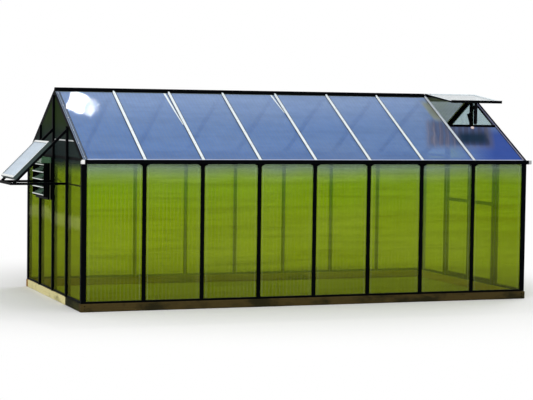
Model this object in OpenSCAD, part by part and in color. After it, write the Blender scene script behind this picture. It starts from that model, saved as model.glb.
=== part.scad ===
// Hobby greenhouse: black aluminium glazing bars on a squared-timber base, glazed with twin-wall
// polycarbonate sheets. Sizes are in millimetres, +Z is up and X runs along the ridge.
// The plan's outer box is centred on the origin and the timbers stand on Z = 0.

/* [Overall] */
// Distance between neighbouring posts, studs and rafters
bay = 650; // [450:10:900]
// Number of bays along each long wall
bays_long = 8; // [4:1:12]
// Number of bays across each gable, an even number
bays_wide = 4; // [4:2:6]
// Height of the walls from the timber's top to the eave line
wall_h = 1520; // [1300:10:2000]
// Rise of the roof from the eave line to the ridge
roof_rise = 724; // [500:2:1000]

/* [Timber base] */
// Width and height of the squared base timbers
timber = 89; // [60:1:150]
// How far the timbers stand out past the frame
timber_out = 20; // [0:1:40]

/* [Glazing bars] */
// Face width of posts, studs and rakes
bar_w = 42; // [30:1:60]
// Depth of posts, studs and sills, inward from the outer face
bar_d = 40; // [32:1:60]
// Wall thickness of the aluminium sections
metal = 3; // [2:0.5:4]
// Thickness of a bar's web between two sheets
web = 4; // [3:0.5:6]
// Depth of the groove that a sheet's end slides into
groove_d = 22; // [14:1:30]
// Height of the sill section on the timbers
sill_h = 24; // [20:1:45]
// Side of the corner posts' square core
core = 24; // [20:1:30]
// Height of the bright joint strips in the left gable
joint_h = 14; // [8:1:25]
// Height of the joint strips above the gable rails
joint_up = 190; // [120:5:260]
// Height of the thin steadying bar in the left gable
steady_h = 14; // [8:1:25]

/* [Roof bars] */
// Depth of rafters below the sheets
rafter_d = 40; // [30:1:60]
// Width of the bright caps over the rafters
cap_w = 32; // [24:1:45]
// Half the width of the ridge beam's box
ridge_half = 30; // [22:1:45]
// Width of each wing of the ridge cap, down the slope
ridge_wing = 60; // [45:1:90]
// Depth of the rakes' outer face below the sheets
rake_d = 45; // [36:1:60]
// Width of each band of the verge caps
verge_band = 18; // [12:1:18]

/* [Gutters] */
// Height of the eave beam and the gutter
gutter_h = 50; // [40:1:75]
// How far the gutter's trough stands out
gutter_w = 45; // [30:1:80]
// How far each gutter runs past the right-hand gable
gutter_over = 25; // [10:1:60]
// Length of the moulded caps on the gutters' ends
end_cap_l = 35; // [20:1:60]

/* [Sheets] */
// Thickness of the twin-wall sheets
sheet = 8; // [6:1:12]
// Gap between a sheet's faces and the bars that hold it
fit = 0.3; // [0.2:0.1:0.8]
// Gap between a sheet's edges and the webs
edge_gap = 2; // [1:0.5:4]

/* [Doors] */
// Gap between the door head and the rakes at the jambs
head_gap = 5; // [2:1:60]
// Height of the doors' middle rail as a share of the leaf's height
mid_rail_share = 0.54; // [0.3:0.01:0.7]
// Width of the door leaves' frame bars
leaf_bar = 40; // [30:1:60]
// Thickness of the door leaves
leaf_d = 30; // [24:1:40]
// Gap round each door leaf
door_gap = 5; // [5:0.5:8]
// Radius of the hinge pins
pin_r = 3.5; // [2.5:0.5:5]
// Distance of the hinge pins out from the frame's face
pin_out = 8; // [7.5:0.5:12]
// Height of the flat threshold
threshold_h = 12; // [6:1:20]

/* [Roof vent] */
// Length of the roof vent down the slope
vent_l = 735; // [400:5:800]
// Angle that the vent is propped open
vent_open = 22; // [10:0.5:30]
// Thickness of the vent's frame
vent_d = 20; // [16:1:30]
// Radius of the opener's wax cylinder
opener_r = 11; // [8:1:16]
// Length of the opener's wax cylinder
opener_l = 150; // [100:5:200]
// Thickness of the opener's links
opener_t = 14; // [3:0.5:16]

/* [Louvre] */
// Height of the louvre window
louvre_h = 475; // [300:5:700]
// Number of louvre blades
blades = 5; // [3:1:8]
// Width of each blade
blade_w = 104; // [60:1:130]
// Thickness of each blade
blade_t = 4; // [3:0.5:6]
// Slope of the open blades below level
blade_tilt = 30; // [10:1:45]
// How far the louvre's frame stands out of the gable
louvre_out = 65; // [30:1:80]

/* [Outside pane] */
// How far the pane's bracket stands out from the gable
reach = 600; // [400:5:700]
// Height of the bracket's arms above the ground
arm_z = 1335; // [1100:5:1400]
// Section of the bracket's bars
arm = 26; // [18:1:35]
// Thickness of the pane's frame
pane_d = 40; // [20:1:45]
// How far up the rails the pane starts
pane_up = 40; // [0:5:120]
// Share of the rails' length that the pane covers
pane_share = 0.65; // [0.5:0.05:0.8]

/* [Hidden] */

black = "#1b1c1e";
bright = "#d9dcde";
wood = "#a98d5b";
green = "#b9cf6a";
blue = "#a9bfdc";

// Plan: distances from the middle to the corner posts' centres and to the frame's outer faces
half_l = bays_long * bay / 2;
half_w = bays_wide * bay / 2;
face_l = half_l + bar_w / 2;
face_w = half_w + bar_w / 2;

// Heights and the roof's slope. The roof plane is the underside of the roof sheets.
z_sill = timber + sill_h;
z_eave = timber + wall_h;
pitch = atan(roof_rise / half_w);
z_ridge = z_eave + face_w * tan(pitch);
z_wall_top = z_eave - gutter_h;
gutter_low = 8;
lip_r = 4;

// Depths in the walls, inward from the outer face
sheet_in = metal + fit;
inner_in = metal + sheet + 2 * fit;
groove_end = inner_in + metal;

// Roof section, measured square to the roof plane
cap_n = sheet + fit;
cap_top = cap_n + metal;
drip = 20;
slope_low = (face_w + drip) / cos(pitch);
ridge_d = ridge_half * tan(pitch) + (rafter_d + metal) / cos(pitch);

// Gable: the glazing rail's height and half height
rail_z = z_eave - 8;
rail_half = 15;

// Doors: the head fits under the rakes at the jambs' outer edges
head_z = roof_z(bay + bar_w / 2, -rake_d) - bar_w - head_gap;
leaf_u0 = door_gap / 2;
leaf_u1 = bay - bar_w / 2 - door_gap;
pin_u = bay - bar_w / 2 - door_gap / 2;
leaf_z0 = timber + threshold_h + door_gap;
leaf_z1 = head_z - door_gap;
mid_rail_z = leaf_z0 + mid_rail_share * (leaf_z1 - leaf_z0);
groove_leaf = 12;
knuckle_r = pin_out - 1;
knuckle_h = 30;
handle_out = 38;
handle_h = 200;

// Vent: the bay at the right-hand end of the front slope
vent_x0 = half_l - bay;
vent_bar = 28;
vent_hinge_s = 14;
vent_hinge_n = cap_top + 6;
vent_bead = 8;
opener_at = 0.49;
opener_elbow = [80, 125];
strap = 22;

// Outside pane: the bracket's rails rise from the arms' ends to the studs
rail_rise = reach;
rail_tilt = atan(rail_rise / reach);
rail_len = sqrt(reach * reach + rail_rise * rail_rise);

// The plan's outer box decides where its middle is
x_right = face_l + gutter_over + end_cap_l;
x_left = -(face_l + reach + arm);
x_mid = (x_right + x_left) / 2;

big = 4000;

// Places -------------------------------------------------------------------------------------

// Moves the building so that the middle of its outer box is over the origin
module place() { translate([-x_mid, 0, 0]) children(); }

// Wall frames: X runs along the wall, Y inward from its outer face
module on_front() { translate([0, -face_w, 0]) children(); }
module on_back() { rotate([0, 0, 180]) on_front() children(); }
module on_left() { rotate([0, 0, -90]) translate([0, -face_l, 0]) children(); }
module on_right() { rotate([0, 0, 90]) translate([0, -face_l, 0]) children(); }

// Roof frames: Y is up the slope with the ridge at 0, Z is square to the roof plane
module on_front_slope() { translate([0, 0, z_ridge]) rotate([pitch, 0, 0]) children(); }

// A section drawn in X and Z, run from the ridge down the slope
module down_slope(from, to) {
  translate([0, -from, 0]) rotate([90, 0, 0]) linear_extrude(to - from) children();
}

// A section drawn in X (inward) and Y (up), run along the wall
module along_wall(u0, u1) {
  translate([u0, 0, 0]) rotate([90, 0, 90]) linear_extrude(u1 - u0) children();
}

// A plate drawn in X and Z with its faces at two depths of a wall
module in_wall(v0, v1) {
  translate([0, v1, 0]) rotate([90, 0, 0]) linear_extrude(v1 - v0) children();
}

// Everything between two distances from the middle, on the front side
module front_slab(y0, y1) {
  intersection() {
    children();
    translate([-big, -y1, 0]) cube([2 * big, y1 - y0, big]);
  }
}

module box2(x0, x1, y0, y1) { translate([x0, y0]) square([x1 - x0, y1 - y0]); }

// The point of the front roof section at s down the slope and n out from the roof plane
function roof_pt(s, n) = [-s * cos(pitch) - n * sin(pitch), z_ridge - s * sin(pitch) + n * cos(pitch)];
function flip(p) = [-p[0], p[1]];

// Height of a plane n above the roof plane at distance u from the middle
function roof_z(u, n) = z_ridge - abs(u) * tan(pitch) + n / cos(pitch);

// Sections -----------------------------------------------------------------------------------

// Post or stud: outer flange, inner flange, web and tail
module post_section() {
  box2(-bar_w / 2, bar_w / 2, 0, metal);
  box2(-bar_w / 2, bar_w / 2, inner_in, groove_end);
  box2(-web / 2, web / 2, 0, bar_d);
  box2(-bar_w / 4, bar_w / 4, bar_d - metal, bar_d);
}

// Foot of a post: what stands inside the sill, behind its inner lip
module post_foot_section() {
  box2(-web / 2, web / 2, groove_end + fit, bar_d);
  box2(-bar_w / 4, bar_w / 4, bar_d - metal, bar_d);
}

// Corner post: square tube with a groove along each wall
module corner_section() {
  difference() {
    square(core);
    translate([metal, metal]) square(core - 2 * metal);
  }
  for (swap = [0, 1])
    mirror([swap, -swap]) {
      box2(core, bar_w, 0, metal);
      box2(core - metal, bar_w, inner_in, groove_end);
    }
}

// Sill: outer lip, floor and inner lip
module sill_section() {
  box2(0, metal, timber, z_sill);
  box2(0, bar_d, timber, timber + metal);
  box2(inner_in, groove_end, timber, timber + groove_d);
}

// Eave beam: closed box under the sheets with a groove for the wall sheets
module eave_beam_section() {
  top0 = z_eave - fit / cos(pitch);
  rise = tan(pitch);
  difference() {
    polygon([[0, z_wall_top], [bar_d, z_wall_top], [bar_d, top0 + bar_d * rise], [0, top0]]);
    box2(metal, inner_in, z_wall_top - 1, z_wall_top + groove_d);
    polygon([[groove_end, z_wall_top + metal], [bar_d - metal, z_wall_top + metal],
      [bar_d - metal, top0 + (bar_d - metal) * rise - metal],
      [groove_end, top0 + groove_end * rise - metal]]);
  }
}

// Gutter: trough with a rolled lip, hung on the eave beam's outer face
module gutter_section() {
  box2(-gutter_w, 0, z_wall_top, z_wall_top + metal);
  box2(-metal, 0, z_wall_top, z_eave - gutter_low);
  box2(-gutter_w, metal - gutter_w, z_wall_top, z_eave - gutter_low);
  translate([lip_r / 2 - gutter_w, z_eave - gutter_low]) circle(r = lip_r, $fn = 24);
}

// Ridge: box beam with a web that carries the folded cap
module ridge_section() {
  bed = -fit;
  z_low = z_ridge - ridge_d;
  polygon([roof_pt(ridge_wing, cap_n), roof_pt(ridge_wing, cap_top), [0, roof_z(0, cap_top)],
    flip(roof_pt(ridge_wing, cap_top)), flip(roof_pt(ridge_wing, cap_n)), [0, roof_z(0, cap_n)]]);
  box2(-web / 2, web / 2, z_ridge - 2 * metal, roof_z(0, cap_n + metal / 2));
  difference() {
    polygon([[-ridge_half, z_low], [ridge_half, z_low], [ridge_half, roof_z(ridge_half, bed)],
      [0, roof_z(0, bed)], [-ridge_half, roof_z(ridge_half, bed)]]);
    polygon([[metal - ridge_half, z_low + metal], [ridge_half - metal, z_low + metal],
      [ridge_half - metal, roof_z(ridge_half, bed) - metal],
      [0, roof_z(0, bed) - 1.5 * metal], [metal - ridge_half, roof_z(ridge_half, bed) - metal]]);
  }
}

// Rafter: bed flange, web and tail below the sheets
module rafter_section() {
  box2(-cap_w / 2, cap_w / 2, -fit - metal, -fit);
  box2(-web / 2, web / 2, -rafter_d, -fit);
  box2(-bar_w / 4, bar_w / 4, -rafter_d, metal - rafter_d);
}

// Rafter cap: flat strip over two sheets' edges with a stem between them
module cap_section() {
  box2(-cap_w / 2, cap_w / 2, cap_n, cap_top);
  box2(-web / 2, web / 2, -fit, cap_top);
}

// Rake: outer face, web and bed for the roof sheet, and a groove for the gable sheets.
// X is inward from the gable's outer face.
module rake_face_section() { box2(0, metal, -rake_d, cap_n); }
module rake_bed_section() {
  box2(0, metal, -rake_d, -fit);
  box2(inner_in, groove_end, -rake_d, -fit);
  box2(0, bar_w, -fit - metal, -fit);
}
module rake_web_section() {
  box2(0, metal, -fit, cap_n);
  box2(inner_in, groove_end, -fit, cap_n);
  box2(0, groove_end, -fit, 0);
}
// Verge cap: two flat bands with a sunk line between them
module verge_cap_section() {
  box2(0, bar_w, cap_n, cap_n + metal / 2);
  box2(0, verge_band, cap_n, cap_top);
  box2(bar_w - verge_band, bar_w, cap_n, cap_top);
}

// Horizontal glazing rail in a gable, X inward and Y up from its middle
module rail_section() {
  box2(0, metal, -rail_half, rail_half);
  box2(inner_in, groove_end, -rail_half, rail_half);
  box2(0, groove_end, -web / 2, web / 2);
}

// Base -----------------------------------------------------------------------------------------

module long_timber() {
  translate([-face_l - timber_out, -timber_out, 0])
    cube([2 * (face_l + timber_out), timber, timber]);
}

// A timber across a gable, between two distances along it
module cross_timber(u0, u1) {
  translate([u0, -timber_out, 0]) cube([u1 - u0, timber, timber]);
}

cross_end = face_w + timber_out - timber;

module base_front_timber() { color(wood) place() on_front() long_timber(); }
module base_back_timber() { color(wood) place() on_back() long_timber(); }
module base_left_timber() { color(wood) place() on_left() cross_timber(-cross_end, bay); }
module base_left_end_timber() { color("#5b4a31") place() on_left() cross_timber(bay, cross_end); }
module base_right_timber() { color(wood) place() on_right() cross_timber(-cross_end, cross_end); }

module sills() {
  long = face_l - bar_w;
  wide = face_w - max(bar_w, bar_d);
  color(black) place() {
    on_front() along_wall(-long, long) sill_section();
    on_back() along_wall(-long, long) sill_section();
    on_left() along_wall(-wide, wide) sill_section();
    on_right() for (side = [-1, 1])
      along_wall(side > 0 ? bay - bar_w / 2 : -wide, side > 0 ? wide : bar_w / 2 - bay) sill_section();
  }
}

module door_threshold() {
  color(black) place() on_right() along_wall(bar_w / 2 - bay, bay - bar_w / 2) {
    box2(0, bar_d, timber, timber + metal);
    box2(0, metal, timber, timber + threshold_h);
    box2(bar_d - metal, bar_d, timber, timber + threshold_h);
  }
}

// Posts and studs ------------------------------------------------------------------------------

module corner_posts() {
  color(black) place() for (sx = [0, 1], sy = [0, 1])
    mirror([sx, 0, 0]) mirror([0, sy, 0])
      translate([-face_l, -face_w, timber]) linear_extrude(z_wall_top - timber) corner_section();
}

module wall_post() {
  translate([0, 0, z_sill]) linear_extrude(z_wall_top - z_sill) post_section();
  translate([0, 0, timber + metal]) linear_extrude(sill_h) post_foot_section();
}

module wall_posts() {
  color(black) place() for (i = [1 : bays_long - 1]) {
    on_front() translate([i * bay - half_l, 0, 0]) wall_post();
    on_back() translate([i * bay - half_l, 0, 0]) wall_post();
  }
}

// The gable's face below a plane n above the roof plane, clear of the ridge beam
module under_roof(n, clear) {
  difference() {
    polygon([[-face_w, 0], [face_w, 0], [face_w, roof_z(face_w, n)], [0, roof_z(0, n)],
      [-face_w, roof_z(face_w, n)]]);
    box2(-ridge_half - clear, ridge_half + clear, z_ridge - ridge_d - clear, z_ridge + 100);
  }
}

// A stud at u, from the given height up to the rakes
module gable_stud(u, z0) {
  intersection() {
    union() {
      translate([u, 0, z0]) linear_extrude(z_ridge - z0) post_section();
      if (z0 == z_sill)
        translate([u, 0, timber + metal]) linear_extrude(sill_h) post_foot_section();
    }
    in_wall(-1, bar_d + 1) under_roof(-rake_d - fit, fit);
  }
}

module left_gable_studs() {
  color(black) place() on_left() for (i = [1 : bays_wide - 1]) gable_stud(i * bay - half_w, z_sill);
}

// The studs beside the doors are jambs. The middle one stands on the door head.
module right_gable_studs() {
  color(black) place() on_right() for (i = [1 : bays_wide - 1])
    gable_stud(i * bay - half_w, i == bays_wide / 2 ? head_z + bar_w : z_sill);
}

// A rail between two neighbouring studs, or a stud and a corner post
module gable_rail(i) {
  u0 = i * bay - half_w + bar_w / 2;
  intersection() {
    along_wall(u0, u0 + bay - bar_w) translate([0, rail_z]) rail_section();
    in_wall(-1, bar_d + 1) under_roof(-rake_d - fit, fit);
  }
}

// A thin bar at the pane bracket's height steadies the bay beside it
module steady_bar() {
  translate([bay + bar_w / 2, 0, arm_z - arm / 2 - steady_h / 2]) cube([bay - bar_w, metal, steady_h]);
}

module gable_rails() {
  color(black) place() {
    on_left() for (i = [0 : bays_wide - 1]) gable_rail(i);
    on_left() steady_bar();
    on_right() for (i = [0, bays_wide - 1]) gable_rail(i);
  }
}

module door_head() {
  color(black) place() on_right() along_wall(bar_w / 2 - bay, bay - bar_w / 2) {
    difference() {
      box2(0, bar_d, head_z, head_z + bar_w);
      box2(groove_end, bar_d - metal, head_z + metal, head_z + bar_w - metal);
      box2(metal, inner_in, head_z + bar_w - groove_d, head_z + bar_w + 1);
    }
  }
}

// Eaves, ridge and roof bars -------------------------------------------------------------------

module eave_beams() {
  color(black) place() {
    on_front() along_wall(-face_l, face_l) eave_beam_section();
    on_back() along_wall(-face_l, face_l) eave_beam_section();
  }
}

// Each gutter starts just inside the left-hand corner and runs past the right-hand one
gutter_from = 10 - face_l;
gutter_to = face_l + gutter_over;

module gutters() {
  color(black) place() for (back = [0, 1]) mirror([0, back, 0]) on_front()
    along_wall(gutter_from, gutter_to) gutter_section();
}

// Cap on a gutter's end, low enough to pass under the roof's edge
module end_cap_section() {
  box2(-gutter_w - lip_r / 2, 0, z_wall_top, z_eave - drip * tan(pitch) - 2);
  box2(-gutter_w - lip_r / 2, 2 * lip_r - gutter_w, z_wall_top, z_eave - gutter_low + lip_r);
}

module gutter_end_caps() {
  color("white") place() for (back = [0, 1]) mirror([0, back, 0]) on_front() {
    along_wall(gutter_from - end_cap_l, gutter_from) end_cap_section();
    along_wall(gutter_to, gutter_to + end_cap_l) end_cap_section();
  }
}

// The ridge runs between the rakes' outer faces, which meet over its ends
module ridge_beam() {
  color(black) place() translate([metal - face_l, 0, 0])
    rotate([90, 0, 90]) linear_extrude(2 * (face_l - metal)) ridge_section();
}

// Bright strips over the joints in the left gable's upper sheets, from the middle stud to the rake
module gable_joint_strips() {
  z = rail_z + joint_up;
  color(bright) place() on_left() intersection() {
    for (i = [bays_wide / 2 : bays_wide - 1])
      translate([i * bay - half_w + bar_w / 2, 0, z - joint_h / 2]) cube([bay - bar_w, metal, joint_h]);
    in_wall(-1, bar_d + 1) under_roof(-rake_d - fit, fit);
  }
}

// One rake on the left-hand gable's front slope. Its outer face runs up to the apex.
module rake() {
  translate([-face_l, 0, 0]) {
    front_slab(fit / 2, face_w - bar_d) on_front_slope() down_slope(-bar_d, slope_low) rake_face_section();
    front_slab(ridge_half, face_w - bar_d) on_front_slope() down_slope(0, slope_low) rake_bed_section();
    on_front_slope() down_slope(ridge_wing, slope_low) rake_web_section();
  }
}

// The cap along a verge, from the ridge cap to the drip edge
module verge_cap() {
  on_front_slope() translate([-face_l, 0, 0]) down_slope(ridge_wing, slope_low + metal) verge_cap_section();
}

module left_rakes() {
  color(black) place() for (back = [0, 1]) mirror([0, back, 0]) rake();
}
module right_rakes() {
  color(black) place() mirror([1, 0, 0]) for (back = [0, 1]) mirror([0, back, 0]) {
    rake();
    verge_cap();
  }
}

module rafters() {
  color(black) place() for (i = [1 : bays_long - 1], back = [0, 1]) mirror([0, back, 0])
    front_slab(ridge_half, face_w - bar_d) on_front_slope() translate([i * bay - half_l, 0, 0])
      down_slope(0, slope_low) rafter_section();
}

// Bright caps over the rafters and along the left-hand verges
module rafter_caps() {
  color(bright) place() for (back = [0, 1]) mirror([0, back, 0]) {
    for (i = [1 : bays_long - 1])
      on_front_slope() translate([i * bay - half_l, 0, 0])
        down_slope(ridge_wing, slope_low + metal) cap_section();
    verge_cap();
  }
}

// Sheets ---------------------------------------------------------------------------------------

// Edges of the sheet in bay i of a row of n bays that starts at -half
function edge0(i, half) = i * bay - half + (i == 0 ? core - bar_w / 2 : web / 2) + edge_gap;
function edge1(i, n, half) = (i + 1) * bay - half - (i == n - 1 ? core - bar_w / 2 : web / 2) - edge_gap;

module wall_sheets() {
  z0 = timber + metal + edge_gap;
  z1 = z_wall_top + groove_d - edge_gap;
  for (i = [0 : bays_long - 1])
    in_wall(sheet_in, sheet_in + sheet)
      box2(edge0(i, half_l), edge1(i, bays_long, half_l), z0, z1);
}

module front_wall_sheets() { color(green) place() on_front() wall_sheets(); }
module back_wall_sheets() { color(green) place() on_back() wall_sheets(); }

// A gable sheet in bay i between two heights, cut to the rakes, the ridge and the eave beams
module gable_sheet(i, z0, z1) {
  in_wall(sheet_in, sheet_in + sheet) difference() {
    intersection() {
      box2(edge0(i, half_w), edge1(i, bays_wide, half_w), z0, z1);
      under_roof(-groove_d, edge_gap);
    }
    for (side = [-1, 1])
      translate([side * face_w, z_eave])
        square([2 * (bar_d + edge_gap), 2 * (gutter_h + edge_gap)], center = true);
  }
}

low_edge = timber + metal + edge_gap;
rail_low = rail_z - web / 2 - edge_gap;
rail_high = rail_z + web / 2 + edge_gap;
louvre_z1 = rail_z - rail_half - fit;
louvre_z0 = louvre_z1 - louvre_h;
louvre_bar = 25;
louvre_bay = bays_wide / 2 - 1;

module left_gable_sheets() {
  color(green) place() on_left() for (i = [0 : bays_wide - 1]) {
    gable_sheet(i, low_edge, i == louvre_bay ? louvre_z0 + louvre_bar / 2 - edge_gap : rail_low);
    gable_sheet(i, rail_high, z_ridge);
  }
}

module right_gable_sheets() {
  color(green) place() on_right() {
    for (i = [0, bays_wide - 1]) {
      gable_sheet(i, low_edge, rail_low);
      gable_sheet(i, rail_high, z_ridge);
    }
    for (i = [1 : bays_wide - 2])
      gable_sheet(i, head_z + bar_w - groove_d + edge_gap, z_ridge);
  }
}

// Edges of the roof sheets: the rakes' inner webs at the ends, the caps' stems between
function roof0(i) = i == 0 ? groove_end + edge_gap - face_l : i * bay - half_l + web / 2 + edge_gap;
function roof1(i) = i == bays_long - 1 ? face_l - groove_end - edge_gap
  : (i + 1) * bay - half_l - web / 2 - edge_gap;

module roof_sheet(i, from) {
  on_front_slope() down_slope(from, slope_low) box2(roof0(i), roof1(i), 0, sheet);
}

sheet_top = (web / 2 + edge_gap) / cos(pitch);

module front_roof_sheets() {
  color(blue) place() for (i = [0 : bays_long - 1])
    roof_sheet(i, i == bays_long - 1 ? vent_l + web / 2 + edge_gap : sheet_top);
}
module back_roof_sheets() {
  color(blue) place() mirror([0, 1, 0]) for (i = [0 : bays_long - 1]) roof_sheet(i, sheet_top);
}

// Roof vent ------------------------------------------------------------------------------------

// The bar that the closed vent rests on. Its wide flange laps over the top of the short sheet.
module vent_crossbar() {
  color(black) place() on_front_slope()
    translate([vent_x0 + cap_w / 2 + fit, -vent_l, 0])
      rotate([90, 0, 90]) linear_extrude(bay - cap_w / 2 - bar_w / 2 - 2 * fit) {
        box2(-cap_w / 2, web / 2, -fit - metal, -fit);
        box2(-cap_w, web / 2, cap_n, cap_top);
        box2(-web / 2, web / 2, -rafter_d / 2, vent_hinge_n - fit);
      }
}

// Vent frame: Y is up the vent with its hinge edge at 0, Z is square to it
module on_vent() {
  on_front_slope() translate([0, -vent_hinge_s, vent_hinge_n]) rotate([-vent_open, 0, 0]) children();
}

vent_wide = bay + bar_w / 2;
vent_run = vent_l - vent_hinge_s;

module vent_frame() {
  color(black) place() {
    on_vent() translate([vent_x0, -vent_run, 0]) difference() {
      cube([vent_wide, vent_run, vent_d]);
      translate([vent_bar, vent_bar, -1])
        cube([vent_wide - 2 * vent_bar, vent_run - 2 * vent_bar, vent_d + 2]);
      translate([vent_bar / 2, vent_bar / 2, (vent_d - sheet) / 2 - fit])
        cube([vent_wide - vent_bar, vent_run - vent_bar, sheet + 2 * fit]);
    }
    on_front_slope() translate([vent_x0, -vent_hinge_s - vent_bead, cap_top])
      cube([vent_wide, vent_bead, vent_hinge_n - cap_top - fit]);
  }
}

module vent_sheet() {
  gap = vent_bar / 2 + edge_gap;
  color(blue) place() on_vent() translate([vent_x0 + gap, gap - vent_run, (vent_d - sheet) / 2])
    cube([vent_wide - 2 * gap, vent_run - 2 * gap, sheet]);
}

// A flat bar between two points of a plane across the roof, drawn in Y and Z
module link(a, b, w) {
  hull() {
    translate(a) circle(d = w, $fn = 24);
    translate(b) circle(d = w, $fn = 24);
  }
}

// Point of the vent at r out from its hinge and h under its lower face
function vent_pt(r, h) = roof_pt(vent_hinge_s, vent_hinge_n)
  + r * [-cos(pitch - vent_open), -sin(pitch - vent_open)]
  + h * [sin(pitch - vent_open), -cos(pitch - vent_open)];

// Automatic opener: a foot on the crossbar, two links and a wax cylinder under the short sheet
module vent_opener() {
  foot_s = vent_l - web / 2 - fit;
  pivot = roof_pt(foot_s - strap, 0);
  elbow = pivot + opener_elbow;
  wax_n = -rafter_d / 2 - opener_r - 2;
  wax_s = foot_s - strap;
  color("#8d8f92") place() translate([vent_x0 + opener_at * bay, 0, 0]) {
    rotate([90, 0, 90]) {
      linear_extrude(opener_t) link(pivot, elbow, strap);
      translate([0, 0, opener_t]) linear_extrude(opener_t)
        link(elbow, vent_pt(vent_run - vent_bar / 2, strap / 2 + fit), strap);
      linear_extrude(2 * opener_t) link(pivot, roof_pt(wax_s, wax_n), strap);
      linear_extrude(2 * opener_t) translate(roof_pt(foot_s, 0)) rotate(pitch)
        translate([0, -strap / 2]) square(strap);
    }
    on_front_slope() translate([opener_t, -wax_s, wax_n]) rotate([90, 0, 0])
      cylinder(r = opener_r, h = opener_l, $fn = 48);
  }
}

// Louvre window --------------------------------------------------------------------------------

louvre_u0 = louvre_bay * bay - half_w + bar_w / 2 + fit;
louvre_u1 = louvre_u0 + bay - bar_w - 2 * fit;
blade_pitch = (louvre_h - 2 * louvre_bar) / blades;
blade_seat = 0.92;
clip_w = 14;
clip_out = 20;

module louvre_frame() {
  color(black) place() on_left() difference() {
    translate([louvre_u0, -louvre_out, louvre_z0])
      cube([louvre_u1 - louvre_u0, bar_d + louvre_out, louvre_h]);
    translate([louvre_u0 + louvre_bar, -louvre_out - 1, louvre_z0 + louvre_bar])
      cube([louvre_u1 - louvre_u0 - 2 * louvre_bar, bar_d + louvre_out + 2, louvre_h - 2 * louvre_bar]);
    translate([louvre_u0 - 1, metal, louvre_z0 - 1])
      cube([louvre_u1 - louvre_u0 + 2, inner_in - metal, louvre_bar / 2 + 1]);
  }
}

// Each blade slopes down and out from a clip rail just inside the frame's face
module louvre_blades() {
  len = louvre_u1 - louvre_u0 - 2 * louvre_bar - 2 * fit;
  color(green) place() on_left() for (i = [0 : blades - 1])
    translate([louvre_u0 + louvre_bar + fit, -clip_out,
        louvre_z0 + louvre_bar + (i + blade_seat) * blade_pitch])
      rotate([blade_tilt, 0, 0]) {
        translate([0, -blade_w, -blade_t / 2]) cube([len, blade_w, blade_t]);
        translate([0, -clip_w, -1.5 * blade_t]) cube([len, clip_w, 3 * blade_t]);
      }
}

// Outside pane on its bracket ------------------------------------------------------------------

bracket_us = [0, bay];

module bracket_arms() {
  color(black) place() on_left() {
    for (u = bracket_us)
      translate([u - arm / 2, -reach - arm, arm_z - arm]) cube([arm, reach + arm, arm]);
    translate([arm / 2, -reach - arm, arm_z - arm]) cube([bay - arm, arm, arm]);
  }
}

// The rails' frame: Y runs up the rail from the arms' ends, Z is square to it
module on_rails() { translate([0, -reach, arm_z]) rotate([rail_tilt, 0, 0]) children(); }

module bracket_rails() {
  color(black) place() on_left() for (u = bracket_us) intersection() {
    on_rails() translate([u - arm / 2, -2 * arm, -arm]) cube([arm, rail_len + 4 * arm, arm]);
    translate([u - arm, -reach - arm, arm_z]) cube([2 * arm, reach + arm, 2 * reach]);
  }
}

pane_run = rail_len * pane_share;
pane_edge = 26;
pane_seat = pane_d - sheet - 4;

module pane_frame() {
  color("#8f9a98") place() on_left() on_rails() translate([0, pane_up, 0]) difference() {
    translate([-arm / 2, 0, 0]) cube([bay + arm, pane_run, pane_d]);
    translate([pane_edge - arm / 2, pane_edge, -1])
      cube([bay + arm - 2 * pane_edge, pane_run - 2 * pane_edge, pane_d + 2]);
    translate([pane_edge / 2 - arm / 2, pane_edge / 2, pane_seat - fit])
      cube([bay + arm - pane_edge, pane_run - pane_edge, sheet + 2 * fit]);
  }
}

module pane_sheet() {
  gap = pane_edge / 2 + edge_gap;
  color("#dfe9f2") place() on_left() on_rails() translate([gap - arm / 2, pane_up + gap, pane_seat])
    cube([bay + arm - 2 * gap, pane_run - 2 * gap, sheet]);
}

// Doors ----------------------------------------------------------------------------------------

// Each leaf is drawn with its hinge side at positive X, and the front one is mirrored
module on_leaf(back) { place() on_right() mirror([back ? 0 : 1, 0, 0]) children(); }

// Heights of the two openings in a leaf
leaf_windows = [[leaf_z0 + leaf_bar, mid_rail_z - leaf_bar / 2],
  [mid_rail_z + leaf_bar / 2, leaf_z1 - leaf_bar]];

module leaf_frame() {
  w = leaf_u1 - leaf_u0;
  difference() {
    translate([leaf_u0, 0, leaf_z0]) cube([w, leaf_d, leaf_z1 - leaf_z0]);
    for (z = leaf_windows) {
      translate([leaf_u0 + leaf_bar, -1, z[0]]) cube([w - 2 * leaf_bar, leaf_d + 2, z[1] - z[0]]);
      translate([leaf_u0 + leaf_bar - groove_leaf, (leaf_d - sheet) / 2 - fit, z[0] - groove_leaf])
        cube([w - 2 * (leaf_bar - groove_leaf), sheet + 2 * fit, z[1] - z[0] + 2 * groove_leaf]);
    }
  }
}

module leaf_sheets() {
  w = leaf_u1 - leaf_u0;
  in = groove_leaf - edge_gap;
  for (z = leaf_windows)
    translate([leaf_u0 + leaf_bar - in, (leaf_d - sheet) / 2, z[0] - in])
      cube([w - 2 * (leaf_bar - in), sheet, z[1] - z[0] + 2 * in]);
}

hinge_end = 160;
hinge_zs = [leaf_z0 + hinge_end, (leaf_z0 + leaf_z1) / 2, leaf_z1 - hinge_end];
plate_w = 26;
grip_r = 7;

// Half of a hinge: a knuckle round the pin and a plate on the face, to one side
module hinge_half(side, bore) {
  difference() {
    union() {
      translate([0, -pin_out, 0]) cylinder(r = knuckle_r, h = knuckle_h, $fn = 48);
      translate([side > 0 ? 0 : -plate_w, -metal, 0]) cube([plate_w, metal, knuckle_h]);
      translate([side > 0 ? 0 : -knuckle_r, -pin_out, 0]) cube([knuckle_r, pin_out, knuckle_h]);
    }
    translate([0, -pin_out, -1]) cylinder(r = bore, h = knuckle_h + 2, $fn = 48);
  }
}

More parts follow.
